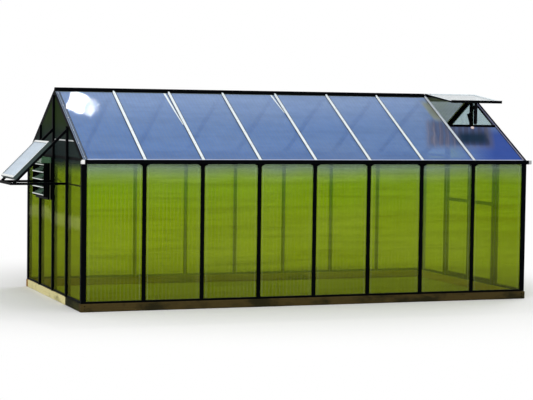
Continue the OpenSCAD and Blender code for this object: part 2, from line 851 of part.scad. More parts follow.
// Leaf knuckles sit on the jamb knuckles
module leaf_fittings() {
  for (z = hinge_zs) translate([pin_u, 0, z + fit]) hinge_half(-1, pin_r + 0.1);
  for (z = [-1, 1]) translate([leaf_u0 + leaf_bar / 2, 0, mid_rail_z + z * handle_h * 0.4])
    rotate([90, 0, 0]) cylinder(r = 5, h = handle_out, $fn = 24);
  translate([leaf_u0 + leaf_bar / 2, -handle_out, mid_rail_z - handle_h / 2])
    cylinder(r = grip_r, h = handle_h, $fn = 32);
}

module door_hinge_pins() {
  color(black) for (back = [true, false]) on_leaf(back) for (z = hinge_zs) {
    translate([pin_u, 0, z - knuckle_h]) hinge_half(1, pin_r - 1);
    translate([pin_u, -pin_out, z - knuckle_h]) cylinder(r = pin_r, h = 2 * knuckle_h + 2, $fn = 48);
  }
}

module front_leaf_frame() { color(black) on_leaf(false) leaf_frame(); }
module front_leaf_sheets() { color(green) on_leaf(false) leaf_sheets(); }
module front_leaf_fittings() { color(black) on_leaf(false) leaf_fittings(); }
module back_leaf_frame() { color(black) on_leaf(true) leaf_frame(); }
module back_leaf_sheets() { color(green) on_leaf(true) leaf_sheets(); }
module back_leaf_fittings() { color(black) on_leaf(true) leaf_fittings(); }

base_front_timber();
base_back_timber();
base_left_timber();
base_left_end_timber();
base_right_timber();
sills();
door_threshold();
corner_posts();
wall_posts();
left_gable_studs();
right_gable_studs();
gable_rails();
door_head();
eave_beams();
gutters();
gutter_end_caps();
ridge_beam();
gable_joint_strips();
left_rakes();
right_rakes();
rafters();
rafter_caps();
front_wall_sheets();
back_wall_sheets();
left_gable_sheets();
right_gable_sheets();
front_roof_sheets();
back_roof_sheets();
vent_crossbar();
vent_frame();
vent_sheet();
vent_opener();
louvre_frame();
louvre_blades();
bracket_arms();
bracket_rails();
pane_frame();
pane_sheet();
door_hinge_pins();
front_leaf_frame();
front_leaf_sheets();
front_leaf_fittings();
back_leaf_frame();
back_leaf_sheets();
back_leaf_fittings();
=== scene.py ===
"""Garden greenhouse: finishes, fasteners, timbers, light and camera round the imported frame."""
import math

import bmesh
import bpy
import numpy as np
from mathutils import Matrix, Vector


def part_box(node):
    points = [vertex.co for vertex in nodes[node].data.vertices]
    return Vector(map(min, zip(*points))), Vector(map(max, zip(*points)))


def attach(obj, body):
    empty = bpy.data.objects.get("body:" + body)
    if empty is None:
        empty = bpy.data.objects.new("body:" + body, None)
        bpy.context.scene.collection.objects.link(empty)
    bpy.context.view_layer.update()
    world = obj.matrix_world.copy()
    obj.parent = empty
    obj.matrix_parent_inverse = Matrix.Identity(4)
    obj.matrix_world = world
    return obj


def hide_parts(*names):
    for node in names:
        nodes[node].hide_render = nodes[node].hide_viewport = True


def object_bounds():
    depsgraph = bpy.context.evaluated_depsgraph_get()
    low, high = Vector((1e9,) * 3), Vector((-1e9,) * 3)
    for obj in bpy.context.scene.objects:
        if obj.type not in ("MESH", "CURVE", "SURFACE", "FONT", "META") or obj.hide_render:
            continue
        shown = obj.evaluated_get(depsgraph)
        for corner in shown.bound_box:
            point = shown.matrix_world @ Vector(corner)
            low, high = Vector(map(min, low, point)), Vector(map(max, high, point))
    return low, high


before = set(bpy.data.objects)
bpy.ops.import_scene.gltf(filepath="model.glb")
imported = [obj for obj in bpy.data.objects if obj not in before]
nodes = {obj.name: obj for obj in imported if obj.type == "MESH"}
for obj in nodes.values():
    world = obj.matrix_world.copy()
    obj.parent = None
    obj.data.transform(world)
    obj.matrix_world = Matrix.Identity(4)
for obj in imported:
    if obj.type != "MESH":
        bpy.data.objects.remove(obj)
cad_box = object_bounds()

# ---- material maths


def by(operation, **how):
    """A method that puts a wire, and the values it is given, through one Math node."""
    return lambda wire, *others: wire.math(operation, *others, **how)


class Wire:
    """A value on its way through a material. Arithmetic on it adds Math nodes."""

    def __init__(self, paint, socket):
        self.paint, self.socket = paint, socket

    def math(self, operation, *others, swap=False, clamp=False):
        values = (self, *others)[::-1] if swap else (self, *others)
        return self.paint.node("Math", {"operation": operation, "use_clamp": clamp},
                               dict(enumerate(values)))

    __add__, __radd__ = by("ADD"), by("ADD", swap=True)
    __sub__, __rsub__ = by("SUBTRACT"), by("SUBTRACT", swap=True)
    __mul__, __rmul__ = by("MULTIPLY"), by("MULTIPLY", swap=True)
    __truediv__, __pow__ = by("DIVIDE"), by("POWER")
    size, root, sine, fraction = by("ABSOLUTE"), by("SQRT"), by("SINE"), by("FRACT")
    larger, past, before = by("MAXIMUM"), by("GREATER_THAN"), by("LESS_THAN")

    def clamp(self):
        return self.math("ADD", 0.0, clamp=True)

    def ramp(self, low, high, to_low=0.0, to_high=1.0):
        """Goes from to_low at low to to_high at high, smoothly, and stays there outside."""
        return self.paint.node("MapRange", {"interpolation_type": "SMOOTHSTEP"},
                               {0: self, 1: low, 2: high, 3: to_low, 4: to_high})

    def within(self, low, high, soft):
        """1 between low and high and 0 outside, with soft edges."""
        return self.ramp(low - soft, low + soft) * self.ramp(high - soft, high + soft, 1.0, 0.0)


class Paint:
    """The shader tree of a material or a world, with its Object coordinates."""

    def __init__(self, owner):
        owner.use_nodes = True
        self.owner, self.tree = owner, owner.node_tree
        self.tree.nodes.clear()

    def coordinates(self):
        """Sets the Object coordinates and their three parts."""
        self.place = Wire(self, self.add("TexCoord", {}, {}).outputs["Object"])
        axes = self.add("SeparateXYZ", {}, {0: self.place})
        self.x, self.y, self.z = (Wire(self, axes.outputs[k]) for k in range(3))
        return self

    def add(self, kind, settings, inputs):
        """A node of a kind, with its settings first and then its sockets' values or links."""
        made = self.tree.nodes.new("ShaderNode" + kind)
        for key, value in settings.items():
            if key == "stops":
                ramp = made.color_ramp
                while len(ramp.elements) < len(value):
                    ramp.elements.new(0.5)
                for element, (at, colour) in zip(ramp.elements, value):
                    element.position = at
                    element.color = (*colour, 1.0)
            else:
                setattr(made, key, value)
        for key, value in inputs.items():
            if value is None:
                continue
            if isinstance(value, Wire):
                self.tree.links.new(value.socket, made.inputs[key])
            elif isinstance(value, tuple) and len(value) == 3 and made.inputs[key].type == "RGBA":
                made.inputs[key].default_value = (*value, 1.0)
            else:
                made.inputs[key].default_value = value
        return made

    def node(self, kind, settings, inputs, output=0):
        return Wire(self, self.add(kind, settings, inputs).outputs[output])

    def noise(self, scale, detail, rough, stretch=(1, 1, 1), shift=(0, 0, 0)):
        """Cloudy value from 0 to 1, with its lumps stretched along the axes."""
        at = self.node("Mapping", {}, {"Vector": self.place, "Location": shift, "Scale": stretch})
        return self.node("TexNoise", {}, {"Vector": at, "Scale": scale, "Detail": detail,
                                          "Roughness": rough})

    def mix(self, share, first, second):
        """Colour between two colours."""
        return self.node("Mix", {"data_type": "RGBA"}, {0: share, 6: first, 7: second}, 2)

    def stops(self, value, stops):
        """Colour read off a ramp of stops."""
        return self.node("ValToRGB", {"stops": stops}, {0: value})

    def facing(self):
        """How far the surface faces up: 1 on a top, -1 on an underside."""
        normal = self.node("NewGeometry", {}, {}, 1)
        return Wire(self, self.add("SeparateXYZ", {}, {0: normal}).outputs[2])

    def seen(self):
        """1 for what the eye, a gloss or a clear surface sees, 0 for what only gives light."""
        path = self.add("LightPath", {}, {}).outputs
        eye, mirror, through = (Wire(self, path["Is %s Ray" % k])
                                for k in ("Camera", "Glossy", "Transmission"))
        return eye.larger(mirror.larger(through))

    def bump(self, height, strength, distance, normal=None):
        return self.node("Bump", {}, {"Height": height, "Strength": strength,
                                      "Distance": distance, "Normal": normal})

    def gloss(self, **sockets):
        """A Principled shader, whose sockets are named with _ for a space."""
        return self.node("BsdfPrincipled", {}, {k.replace("_", " "): v for k, v in sockets.items()})

    def clear(self, colour):
        """A Transparent shader with one tint."""
        return self.node("BsdfTransparent", {}, {0: colour})

    def blend(self, share, first, second):
        return self.node("MixShader", {}, {0: share, 1: first, 2: second})

    def finish(self, shader, output="OutputMaterial"):
        self.add(output, {}, {0: shader}).is_active_output = True
        return self.owner


def finish_named(name):
    return Paint(bpy.data.materials.new(name)).coordinates()


# ---- measures


def low(node):
    """The corner of a node's box where X, Y and Z are least."""
    return np.array(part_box(node)[0])


def high(node):
    """The corner of a node's box where X, Y and Z are greatest."""
    return np.array(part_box(node)[1])


BAR, CAP = 0.042, 0.032  # widths of a frame bar and of a rafter cap
BAY = 0.65  # from post to post
SHEET = 0.008  # thickness of the sheets
CAP_SEAT, CAP_TOP = 0.0083, 0.0113  # a cap's lower and upper face over the sheets' underside
RAKE = 0.045  # depth of a rake
LEFT, FRONT = low("corner_posts")[:2]
RIGHT, BACK = high("corner_posts")[:2]
ENDS = ((LEFT, -1.0), (RIGHT, 1.0))
MIDDLE = (LEFT + RIGHT) / 2
TOP = cad_box[1][2]
BASE = low("sills")[2]
EAVE = low("gutters")[2]
RISE = 0.724  # of the roof over two bays
PITCH = math.atan(RISE / (2 * BAY))
SIN, COS = math.sin(PITCH), math.cos(PITCH)
RIDGE = high("ridge_beam")[2] - CAP_TOP / COS
SLOPE = (BACK + 0.020) / COS  # from the ridge to the sheets' lower edge
POSTS = np.linspace(low("wall_posts")[0] + BAR / 2, high("wall_posts")[0] - BAR / 2, 7)
STUDS = np.linspace(low("left_gable_studs")[1] + BAR / 2, high("left_gable_studs")[1] - BAR / 2, 3)
SIDES = np.array([-1.0, 1.0])
X, Y, Z = np.eye(3)


def on_roof(x, s, n, side=-1.0):
    """Points of a slope: x along the ridge, s down the slope from it and n out of the sheets'
    underside. side is -1 on the front slope and 1 on the back one."""
    x, s, n, side = np.broadcast_arrays(x, s, n, side)
    return np.stack([x, side * (s * COS + n * SIN), RIDGE - s * SIN + n * COS], axis=-1)


def roof_out(side):
    """The direction square out of a slope."""
    return np.array([0.0, side * SIN, COS])


# ---- finishes

RIB = 0.0105  # from rib to rib in a twin-wall sheet


def twin_wall(name, along, shade, cover, tint, rough=0.22, index=1.5, under=None, above=None,
              marks=None, wave=None, layered=0.28, lined=None):
    """Twin-wall sheet: a glossy skin over what shows through it. The skin's colour and its cover
    are read off ramps of height that sway a little, cover grows at the ribs, which stand every
    RIB metres along an axis, every fourth rib is a little greyer, and both drift in long soft
    streaks. under is the skin's colour seen from below, above is a height band and the tint over
    it, marks adds to skin and cover, wave is the height in metres of shallow waves in the sheet,
    layered is how much level layers darken it, and lined is the tint at every fourth rib."""
    p = finish_named(name)
    axis = {"x": p.x, "y": p.y}[along]
    rib = (axis * (2 * math.pi / RIB)).sine() * 0.5 + 0.5
    stiff = ((axis * (math.pi / 2 / RIB)).sine() * 0.5 + 0.5) ** 6.0
    streak = p.noise(1.0, 4.0, 0.62, (9.0, 9.0, 0.35))
    layer = p.noise(1.0, 6.0, 0.68, (0.7, 0.7, 19.0), (5.0, 2.0, 3.0))
    cloud = p.noise(1.1, 2.0, 0.5, (1, 1, 1.6), (3.0, 1.0, 7.0))
    height = (p.z + (p.noise(1.7, 2.0, 0.5, (1, 1, 0.2), (8.0, 3.0, 2.0)) - 0.5) * 0.12) / TOP
    skin = p.stops(height, [(z / TOP, colour) for z, colour in shade])
    if under:
        skin = p.mix(p.facing().ramp(-0.2, -0.6), skin, under)
    skin = p.mix(layer.ramp(0.40, 0.66) * layered, skin, p.mix(0.30, skin, (0.0, 0.0, 0.0)))
    skin = p.mix(stiff * 0.25, skin, (0.34, 0.36, 0.34))
    skin = p.mix(cloud.ramp(0.30, 0.70) * 0.16, skin, p.mix(0.25, skin, (0.9, 0.9, 0.6)))
    share = p.stops(height, [(z / TOP, (c, c, c)) for z, c in cover])
    share = share + (rib ** 6.0) * 0.05 + (streak - 0.5) * 0.16
    if marks:
        skin, share = marks(p, skin, share)
    relief = p.bump(rib, 0.012, 0.001)
    if wave:
        swell = p.noise(1.0, 2.0, 0.5, (7.0, 26.0, 26.0), (4.0, 1.0, 2.0))
        relief = p.bump(swell, 1.0, wave, relief)
    coat = p.gloss(Base_Color=skin, Roughness=(streak * 0.5 + 0.75) * rough, IOR=index,
                   Normal=relief)
    through = p.clear(tint)
    if lined:
        through = p.blend(stiff * 0.7, through, p.clear(lined))
    through = p.blend(layer.ramp(0.43, 0.61) * layered, through,
                      p.clear(tuple(0.935 * c for c in tint)))
    if above:
        through = p.blend(p.z.ramp(*above[:2]), through, p.clear(above[2]))
    return p.finish(p.blend(share.clamp(), through, coat))


def roof_marks(p, skin, share):
    """A painted deep blue shade at the low right end of the front slope, a purple-grey painted
    shadow and reflection in upright streaks below and beside the vent, and a pale yellow-grey
    patch beside the vent's hinge."""
    front = p.y.ramp(-0.05, 0.05, 1.0, 0.0)
    lean = p.x - (p.z - 1.755) * 0.8
    sway = p.noise(3.4, 1.0, 0.5, (1, 1, 1), (1.0, 4.0, 6.0))
    streak = ((lean * 74.0 + sway * 4.0).sine() * 0.25 + (lean * 171.0 + sway * 7.0).sine() * 0.12
              + sway * 0.5 + 0.22)
    # painted shade: a deep blue over the low right end of the front slope
    deep = front * lean.ramp(2.02, 2.66) * p.z.ramp(2.04, 1.88)
    skin = p.mix(deep * 0.96, skin, (0.005, 0.050, 0.31))
    # painted shadow and reflection: purple-grey upright streaks below and beside the vent, darkest
    # in the core
    film = front * lean.within(1.77, 2.62, 0.05) * p.z.within(1.745, 2.06, 0.06)
    core = film * lean.within(2.16, 2.56, 0.08) * p.z.within(1.785, 1.915, 0.05)
    film = film * streak.ramp(0.20, 0.60, 0.75, 1.0)
    skin = p.mix(film * 0.93, skin, (0.070, 0.075, 0.130))
    skin = p.mix(core * 0.92, skin, (0.008, 0.026, 0.055))
    # painted reflection: paler streaks in the left part of the painted shadow
    pale = film * p.x.ramp(2.32, 2.12) * streak.ramp(0.30, 0.78)
    skin = p.mix(pale * 0.26, skin, (0.36, 0.36, 0.48))
    # a pale yellow-grey patch beside the vent's hinge
    pale_patch = front * p.x.within(2.12, 2.26, 0.03) * p.z.within(2.06, 2.27, 0.04)
    skin = p.mix(pale_patch * 0.85, skin, (0.44, 0.46, 0.30))
    return skin, share + film * 0.44 + deep * 0.50


def edge_marks(p, skin, share):
    """Pale edging tape on the long walls' sheets: a line 45 mm from each post's middle and one
    below the eave. The sheets are a little duller towards the right end."""
    along = ((p.x - (LEFT + BAR / 2)) / BAY).fraction()
    off = (0.5 - (along - 0.5).size()) * BAY
    tape = off.within(0.041, 0.049, 0.003) * p.z.ramp(1.530, 1.524)
    tape = tape.larger(p.z.within(1.524, 1.533, 0.003) * off.ramp(0.041, 0.049))
    skin = p.mix(p.x.ramp(1.2, 2.6) * 0.14, skin, (0.0, 0.0, 0.0))
    return p.mix(tape * 0.28, skin, (0.42, 0.50, 0.42)), share + tape * 0.07


def gable_marks(p, skin, share):
    """Above the eave the left gable's sheets are dark: grey at their foot, green at the ridge."""
    shade = p.mix(p.z.ramp(1.75, 2.05), (0.024, 0.036, 0.036), (0.024, 0.042, 0.013))
    return p.mix(p.z.ramp(1.47, 1.58) * 0.93, skin, shade), share


def blade_marks(p, skin, share):
    """The blades' clear green darkens towards the front jamb: painted shade."""
    # painted shade, darker towards the front jamb
    painted_shade = p.y.ramp(0.33, 0.20)
    return p.mix(painted_shade * 0.93, skin, (0.006, 0.010, 0.008)), share + painted_shade * 0.35


def coated(name, colour, rough, dusty, index=1.1, pale=None, from_up=0.5, pale_past=None):
    """Powder-coated aluminium: satin with a fine orange-peel and a faint film of dust. pale is
    another colour for faces that look up by more than from_up, and for all that lies past the
    pale_past pair of X and Y, which paints light and shade into the coat by how faces look."""
    p = finish_named(name)
    dust = p.noise(2.2, 5.0, 0.65)
    peel = p.noise(900.0, 2.0, 0.5)
    shade = p.mix(dust.ramp(0.5, 0.8) * 0.4, colour, dusty)
    if pale:
        share = p.facing().ramp(from_up - 0.05, from_up + 0.05)
        if pale_past:
            beyond = [axis.ramp(edge, edge + 0.01) for axis, edge in zip((p.x, p.y), pale_past)]
            share = share.larger(beyond[0] * beyond[1])
        # painted light and shade: upward faces, and the part past pale_past, take the pale colour
        shade = p.mix(share, shade, pale)
    return p.finish(p.gloss(Base_Color=shade, Roughness=rough + dust * 0.15, IOR=index,
                            Normal=p.bump(peel, 0.06, 0.0004)))


def part_black(name, bare_from, bare_past, pale, worn, along="z"):
    """Black coat that ends at a place along an axis: as the place goes from bare_from to
    bare_past there comes another dusty finish, such as the olive seal that the sheets stand on.
    Along x it shows only on faces that look up."""
    p = finish_named(name)
    dust = p.noise(6.0, 5.0, 0.65)
    shares = (0.0, 1.0) if bare_from < bare_past else (1.0, 0.0)
    share = {"x": p.x, "z": p.z}[along].ramp(*sorted((bare_from, bare_past)), *shares)
    if along == "x":
        share = share * p.facing().ramp(0.3, 0.4)
    shade = p.mix(share, (0.0010, 0.0012, 0.0016), p.mix(dust.ramp(0.35, 0.70), pale, worn))
    return p.finish(p.gloss(Base_Color=shade, Roughness=0.45 + dust * 0.15, IOR=1.03,
                            Normal=p.bump(dust, 0.06, 0.0004)))


def drawn(name, colour, rough, metal, stretch, dull=0.86):
    """Drawn aluminium with long fine scratches along the section and dull patches."""
    p = finish_named(name)
    scratch = p.noise(60.0, 3.0, 0.6, stretch)
    patch = p.noise(3.0, 3.0, 0.5)
    shade = p.mix(patch.ramp(0.35, 0.7) * 0.5, colour, tuple(c * dull for c in colour))
    return p.finish(p.gloss(Base_Color=shade, Roughness=rough + scratch * 0.12, Metallic=metal,
                            Normal=p.bump(scratch, 0.05, 0.0004)))


def cap_metal(name, verge_x, vent_x):
    """Bright rafter caps. The verge caps, at the gable end before verge_x, are duller and blue
    with two dark grooves, and the cap beside the vent, past vent_x, is greyer: painted shade."""
    p = finish_named(name)
    scratch = p.noise(60.0, 3.0, 0.6, (12, 1, 1))
    patch = p.noise(2.5, 4.0, 0.6)
    white = p.mix(patch.ramp(0.40, 0.72) * 0.5, (0.80, 0.87, 0.90), (0.62, 0.70, 0.76))
    # painted shade: the cap beside the vent is greyer
    white = p.mix(p.x.past(vent_x), white, (0.66, 0.73, 0.80))
    verge = p.mix(patch.ramp(0.35, 0.70), (0.17, 0.23, 0.34), (0.11, 0.16, 0.25))
    grooves = [(p.x - (verge_x - back)).within(0.0, 0.009, 0.002) for back in (0.046, 0.022)]
    verge = p.mix(grooves[0].larger(grooves[1]) * 0.85, verge, (0.02, 0.03, 0.045))
    shade = p.mix(p.x.before(verge_x), white, verge)
    return p.finish(p.gloss(Base_Color=shade, Roughness=0.34 + scratch * 0.12, Metallic=0.04,
                            IOR=1.15, Normal=p.bump(scratch, 0.05, 0.0004)))


def sawn_timber(name, along, pith, pale, dark, stain, share_low, share_high, painted_light_within=None):
    """Sawn softwood, as a pattern in the solid: growth rings are sines of the distance from a
    wandering pith line beside the beam, crossed by fine fibres, dark checks and weather stains.
    pith is the line's distance from the plan's middle and its height, and dry the distance
    inside which the side that faces the house is brightened towards pale orange: painted light."""
    p = finish_named(name)
    stretch = (0.35, 6.0, 6.0) if along == "x" else (6.0, 0.35, 6.0)
    out = p.y.size() if along == "x" else (p.x - MIDDLE).size()
    sway = p.noise(1.1, 2.0, 0.5, tuple(0.12 * s for s in stretch), (2.0, 6.0, 1.0))
    fine = p.noise(55.0, 3.0, 0.6, stretch, (4.0, 2.0, 1.0))
    blot = p.noise(1.6, 5.0, 0.65, (1, 1, 2.0), (9.0, 5.0, 2.0))
    speck = p.noise(14.0, 4.0, 0.7, (1, 1, 1), (3.0, 8.0, 5.0))
    a = out - pith[0] + (sway - 0.5) * 0.05
    b = p.z - pith[1]
    ring = ((a * a + b * b).root() * (2 * math.pi / 0.0075) + fine * 1.5).sine() * 0.5 + 0.5
    wood = p.mix(ring ** 2.0 * 0.75, pale, dark)
    wood = p.mix(fine.ramp(0.45, 0.75) * 0.35, wood, dark)
    wood = p.mix(blot.ramp(share_low, share_high) * 0.9, wood, stain)
    wood = p.mix(speck.ramp(0.60, 0.72) * 0.5, wood, stain)
    # painted light: the side that faces the house is brightened towards pale orange
    if painted_light_within:
        wood = p.mix(out.ramp(painted_light_within + 0.003, painted_light_within + 0.009, 1.0, 0.0) * 0.85, wood, (1.0, 0.70, 0.40))
    height = ring * 0.5 + fine * 0.5
    return p.finish(p.gloss(Base_Color=wood, Roughness=0.86, IOR=1.15,
                            Normal=p.bump(height, 0.30, 0.0012)))


def plain_sheet(name, along, colour, cover, tint, **settings):
    """A twin-wall sheet with one colour and one cover at all heights."""
    return twin_wall(name, along, [(0.0, colour), (TOP, colour)], [(0.0, cover), (TOP, cover)],
                     tint, **settings)


# By height: the dark olive at the foot stands for the grass floor inside, in shade, seen through:
# painted shade; the pale grey-blue near the eave is painted sky light
LEAFY = [(0.10, (0.100, 0.108, 0.0)), (0.40, (0.21, 0.28, 0.002)), (0.62, (0.25, 0.345, 0.012)),
         (0.95, (0.245, 0.37, 0.006)), (1.18, (0.205, 0.385, 0.002)), (1.34, (0.19, 0.41, 0.006)),
         (1.40, (0.26, 0.47, 0.09)), (1.46, (0.24, 0.39, 0.17)), (1.54, (0.27, 0.39, 0.34))]
LEAFY_COVER = [(0.10, 0.30), (0.48, 0.27), (1.36, 0.27), (1.54, 0.42)]
LEAFY_TINT = (0.775, 0.836, 0.16)
# the clearer tint above 1.38 m belongs to the painted sky light under the eave
wall = twin_wall("wall_twin_wall", "x", LEAFY, LEAFY_COVER, LEAFY_TINT, index=1.18,
                 above=(1.38, 1.50, (0.73, 0.80, 0.64)), marks=edge_marks, layered=0.8,
                 lined=(0.80, 0.825, 0.24))
left_gable = twin_wall(
    "left_gable_twin_wall", "y",
    [(0.10, (0.24, 0.25, 0.006)), (0.60, (0.25, 0.32, 0.012)), (0.84, (0.25, 0.32, 0.014)),
     # the pale band from 0.90 to 0.97 m is a painted glare highlight
     (0.90, (0.52, 0.58, 0.24)), (0.97, (0.52, 0.58, 0.24)), (1.02, (0.20, 0.30, 0.006)),
     (1.45, (0.19, 0.32, 0.02)), (1.55, (0.05, 0.09, 0.035)), (1.62, (0.024, 0.036, 0.034)),
     (2.10, (0.020, 0.036, 0.012))],
    [(0.10, 0.24), (1.42, 0.22), (1.55, 0.74), (1.60, 0.97)], (0.73, 0.78, 0.215),
    index=1.01, marks=gable_marks, layered=0.4, lined=(0.75, 0.79, 0.28))
right_gable = twin_wall(
    "right_gable_twin_wall", "y",
    LEAFY[:6] + [(1.56, (0.25, 0.40, 0.10)), (1.66, (0.36, 0.54, 0.62))],
    [(0.10, 0.27), (1.54, 0.27), (1.66, 0.36)], LEAFY_TINT, index=1.15,
    above=(1.56, 1.66, (0.84, 0.94, 0.98)))
leaf = twin_wall("leaf_twin_wall", "y", LEAFY[:6], LEAFY_COVER[:3], LEAFY_TINT, index=1.15)
# the roof's blue, paler towards the ridge, is a painted reflection of the sky
SKY_REFLECTION = [(1.58, (0.175, 0.325, 0.70)), (1.95, (0.175, 0.325, 0.70)), (2.30, (0.36, 0.52, 0.88))]
roof = twin_wall("roof_twin_wall", "x", SKY_REFLECTION, [(1.58, 0.47), (2.30, 0.49)], (0.66, 0.72, 0.84),
                 rough=0.02, index=1.15, under=(0.66, 0.70, 0.56), marks=roof_marks, wave=0.000012)
# the vent sheet's near-white top is a painted sky reflection and its dark underside is painted
# shade
vent_pane = plain_sheet("vent_twin_wall", "x", (0.80, 0.88, 0.93), 0.75, (0.90, 0.95, 0.98),
                        rough=0.10, under=(0.16, 0.19, 0.19))
# the outside pane's pale sky blue is a painted sky reflection
pane = plain_sheet("pane_twin_wall", "y", (0.64, 0.82, 1.0), 0.78, (0.84, 0.91, 0.97), rough=0.10)
blade = plain_sheet("blade_clear_green", "y", (0.34, 0.52, 0.42), 0.60, (0.78, 0.90, 0.76),
                    rough=0.15, index=1.3, marks=blade_marks)
hood = plain_sheet("hood_clear_green", "y", (0.12, 0.26, 0.15), 0.60, (0.70, 0.86, 0.70),
                   rough=0.15, index=1.3)
black = coated("black_coat", (0.0010, 0.0014, 0.0020), 0.42, (0.0026, 0.0030, 0.0034), index=1.06)
rake_x = high("right_rakes")[0] - 0.024
rake_black = part_black("rake_coat", rake_x, rake_x - 0.001, (0.15, 0.17, 0.30),
                        (0.26, 0.26, 0.36), "x")
seal_z = BASE + 0.021
seal_line = part_black("sill_coat", seal_z - 0.001, seal_z + 0.001, (0.075, 0.090, 0.016),
                       (0.13, 0.14, 0.06))
inside_z = high("ridge_beam")[2] - 0.030
ridge_coat = part_black("ridge_coat", inside_z, inside_z - 0.003, (0.20, 0.23, 0.19),
                        (0.15, 0.17, 0.13))
black_fit = coated("black_fitting", (0.0016, 0.0017, 0.0020), 0.5, (0.004, 0.004, 0.004))
# the black vent frame's pale upward faces, and its pale part past x 2.30 and y -0.66, are a painted
# sky highlight
vent_black = coated("vent_frame_coat", (0.0010, 0.0014, 0.0018), 0.42, (0.0032, 0.0036, 0.0038),
                    pale=(0.86, 0.93, 0.97), from_up=0.9, pale_past=(2.30, -0.66))
# the pane frame's pale tops are its bright aluminium; the dark grey-green on its sides is painted
# shade
pane_grey = coated("pane_frame_coat", (0.035, 0.055, 0.052), 0.35, (0.06, 0.08, 0.075), index=1.3,
                   pale=(0.90, 0.93, 0.92), from_up=0.4)
rubber = coated("gasket_rubber", (0.016, 0.018, 0.016), 0.7, (0.030, 0.032, 0.028), index=1.2)
# white and grey copies of one end cap: painted light and shade
white = coated("end_cap_white", (0.80, 0.81, 0.80), 0.5, (0.62, 0.62, 0.60), index=1.4)
grey_cap = coated("end_cap_grey", (0.36, 0.37, 0.38), 0.5, (0.30, 0.30, 0.30), index=1.4)
stop_pink = coated("sheet_stop_plastic", (0.86, 0.70, 0.68), 0.45, (0.66, 0.52, 0.50), index=1.4)
bright = cap_metal("bright_cap", high("left_rakes")[0] + 0.01, low("vent_crossbar")[0] - 0.05)
strip = drawn("joint_strip", (0.72, 0.74, 0.74), 0.35, 0.2, (1, 12, 1))
# the drip strips' pale blue-grey is aluminium brightened and blued by a painted highlight
drip = drawn("drip_strip", (0.42, 0.47, 0.66), 0.32, 0.2, (1, 12, 12))
zinc = drawn("screw_zinc", (0.62, 0.63, 0.65), 0.38, 0.6, (4, 4, 4))
opener = coated("opener_coat", (0.0016, 0.0018, 0.0024), 0.4, (0.005, 0.005, 0.006))
edge_glass = drawn("blade_edge", (0.86, 0.92, 0.90), 0.20, 0.0, (1, 12, 1), dull=0.92)
# the louvre frame's ribs are black aluminium painted greyish-olive: painted highlight
rib_grey = coated("louvre_rib_coat", (0.13, 0.14, 0.09), 0.4, (0.08, 0.09, 0.06), index=1.3)
front_wood = sawn_timber("weathered_timber", "x", (1.22, -0.05), (0.072, 0.052, 0.016),
                         (0.022, 0.014, 0.004), (0.014, 0.013, 0.005), 0.45, 0.62)
back_wood = sawn_timber("brown_timber", "x", (1.22, -0.05), (0.46, 0.26, 0.075),
                        (0.20, 0.10, 0.028), (0.07, 0.05, 0.014), 0.48, 0.66)
pale_wood = sawn_timber("pale_timber", "y", (2.50, -0.06), (0.98, 0.92, 0.52),
                        (0.70, 0.56, 0.22), (0.26, 0.23, 0.07), 0.50, 0.66,
                        low("base_right_timber")[0] - MIDDLE)
dark_wood = sawn_timber("dark_timber", "y", (2.50, -0.06), (0.060, 0.060, 0.016),
                        (0.016, 0.014, 0.005), (0.010, 0.011, 0.004), 0.42, 0.58)

finishes = {
    roof: ["front_roof_sheets", "back_roof_sheets"],
    vent_pane: ["vent_sheet"],
    wall: ["front_wall_sheets", "back_wall_sheets"],
    left_gable: ["left_gable_sheets"],
    right_gable: ["right_gable_sheets"],
    leaf: ["front_leaf_sheets", "back_leaf_sheets"],
    pane: ["pane_sheet"],
    blade: ["louvre_blades"],
    bright: ["rafter_caps"],
    strip: ["gable_joint_strips"],
    opener: ["vent_opener"],
    vent_black: ["vent_frame"],
    rake_black: ["right_rakes"],
    seal_line: ["sills"],
    ridge_coat: ["ridge_beam"],
    pane_grey: ["pane_frame"],
    black_fit: ["front_leaf_fittings", "back_leaf_fittings", "door_hinge_pins"],
}
finished = {name for names in finishes.values() for name in names}
finishes[black] = [name for name in nodes if name not in finished]
for material, names in finishes.items():
    for name in names:
        if not nodes[name].material_slots:
            nodes[name].data.materials.append(material)
        for slot in nodes[name].material_slots:
            slot.material = material

# the finish and the slot of the pieces that share them
BLACK = (black, "black_aluminium")
FITTING = (black_fit, "black_fittings")

# ---- shapes


def lofted(rings):
    """Closed bodies through (items, rings, points, 3) arrays: four-sided faces between
    neighbouring rings and one face over each end. Gives the points and the arrays of faces."""
    rings = rings if rings.ndim == 4 else rings[None]
    items, n, m = rings.shape[:3]
    i, j = np.meshgrid(np.arange(n - 1), np.arange(m), indexing="ij")
    k = (j + 1) % m
    sides = np.stack([i * m + j, i * m + k, i * m + m + k, i * m + m + j], axis=-1).reshape(-1, 4)
    ends = np.stack([np.arange(m)[::-1], (n - 1) * m + np.arange(m)])
    start = (np.arange(items) * n * m)[:, None, None]
    return rings.reshape(-1, 3), [(sides + start).reshape(-1, 4), (ends + start).reshape(-1, m)]


def frames(at, out, along):
    """Frames (n, 4, 3) at points: the point, then X along, Y across and Z out."""
    at = np.atleast_2d(np.asarray(at, float))
    out, along = (np.broadcast_to(np.asarray(v, float), at.shape) for v in (out, along))
    return np.stack([at, along, np.cross(out, along), out], axis=1)


def placed(rings, spots):
    """A copy of (rings, points, 3) rings in every frame."""
    return spots[:, None, None, 0] + np.einsum("rpc,fcd->frpd", rings, spots[:, 1:])


def runs(section, starts, ends, across, out):
    """Straight bars from starts to ends. The section's first coordinate lies along across and its
    second along out."""
    starts, ends, across, out = np.broadcast_arrays(np.atleast_2d(starts), ends, across, out)
    offset = (section[None, :, :1] * across[:, None] + section[None, :, 1:] * out[:, None])
    return np.stack([starts[:, None] + offset, ends[:, None] + offset], axis=1)


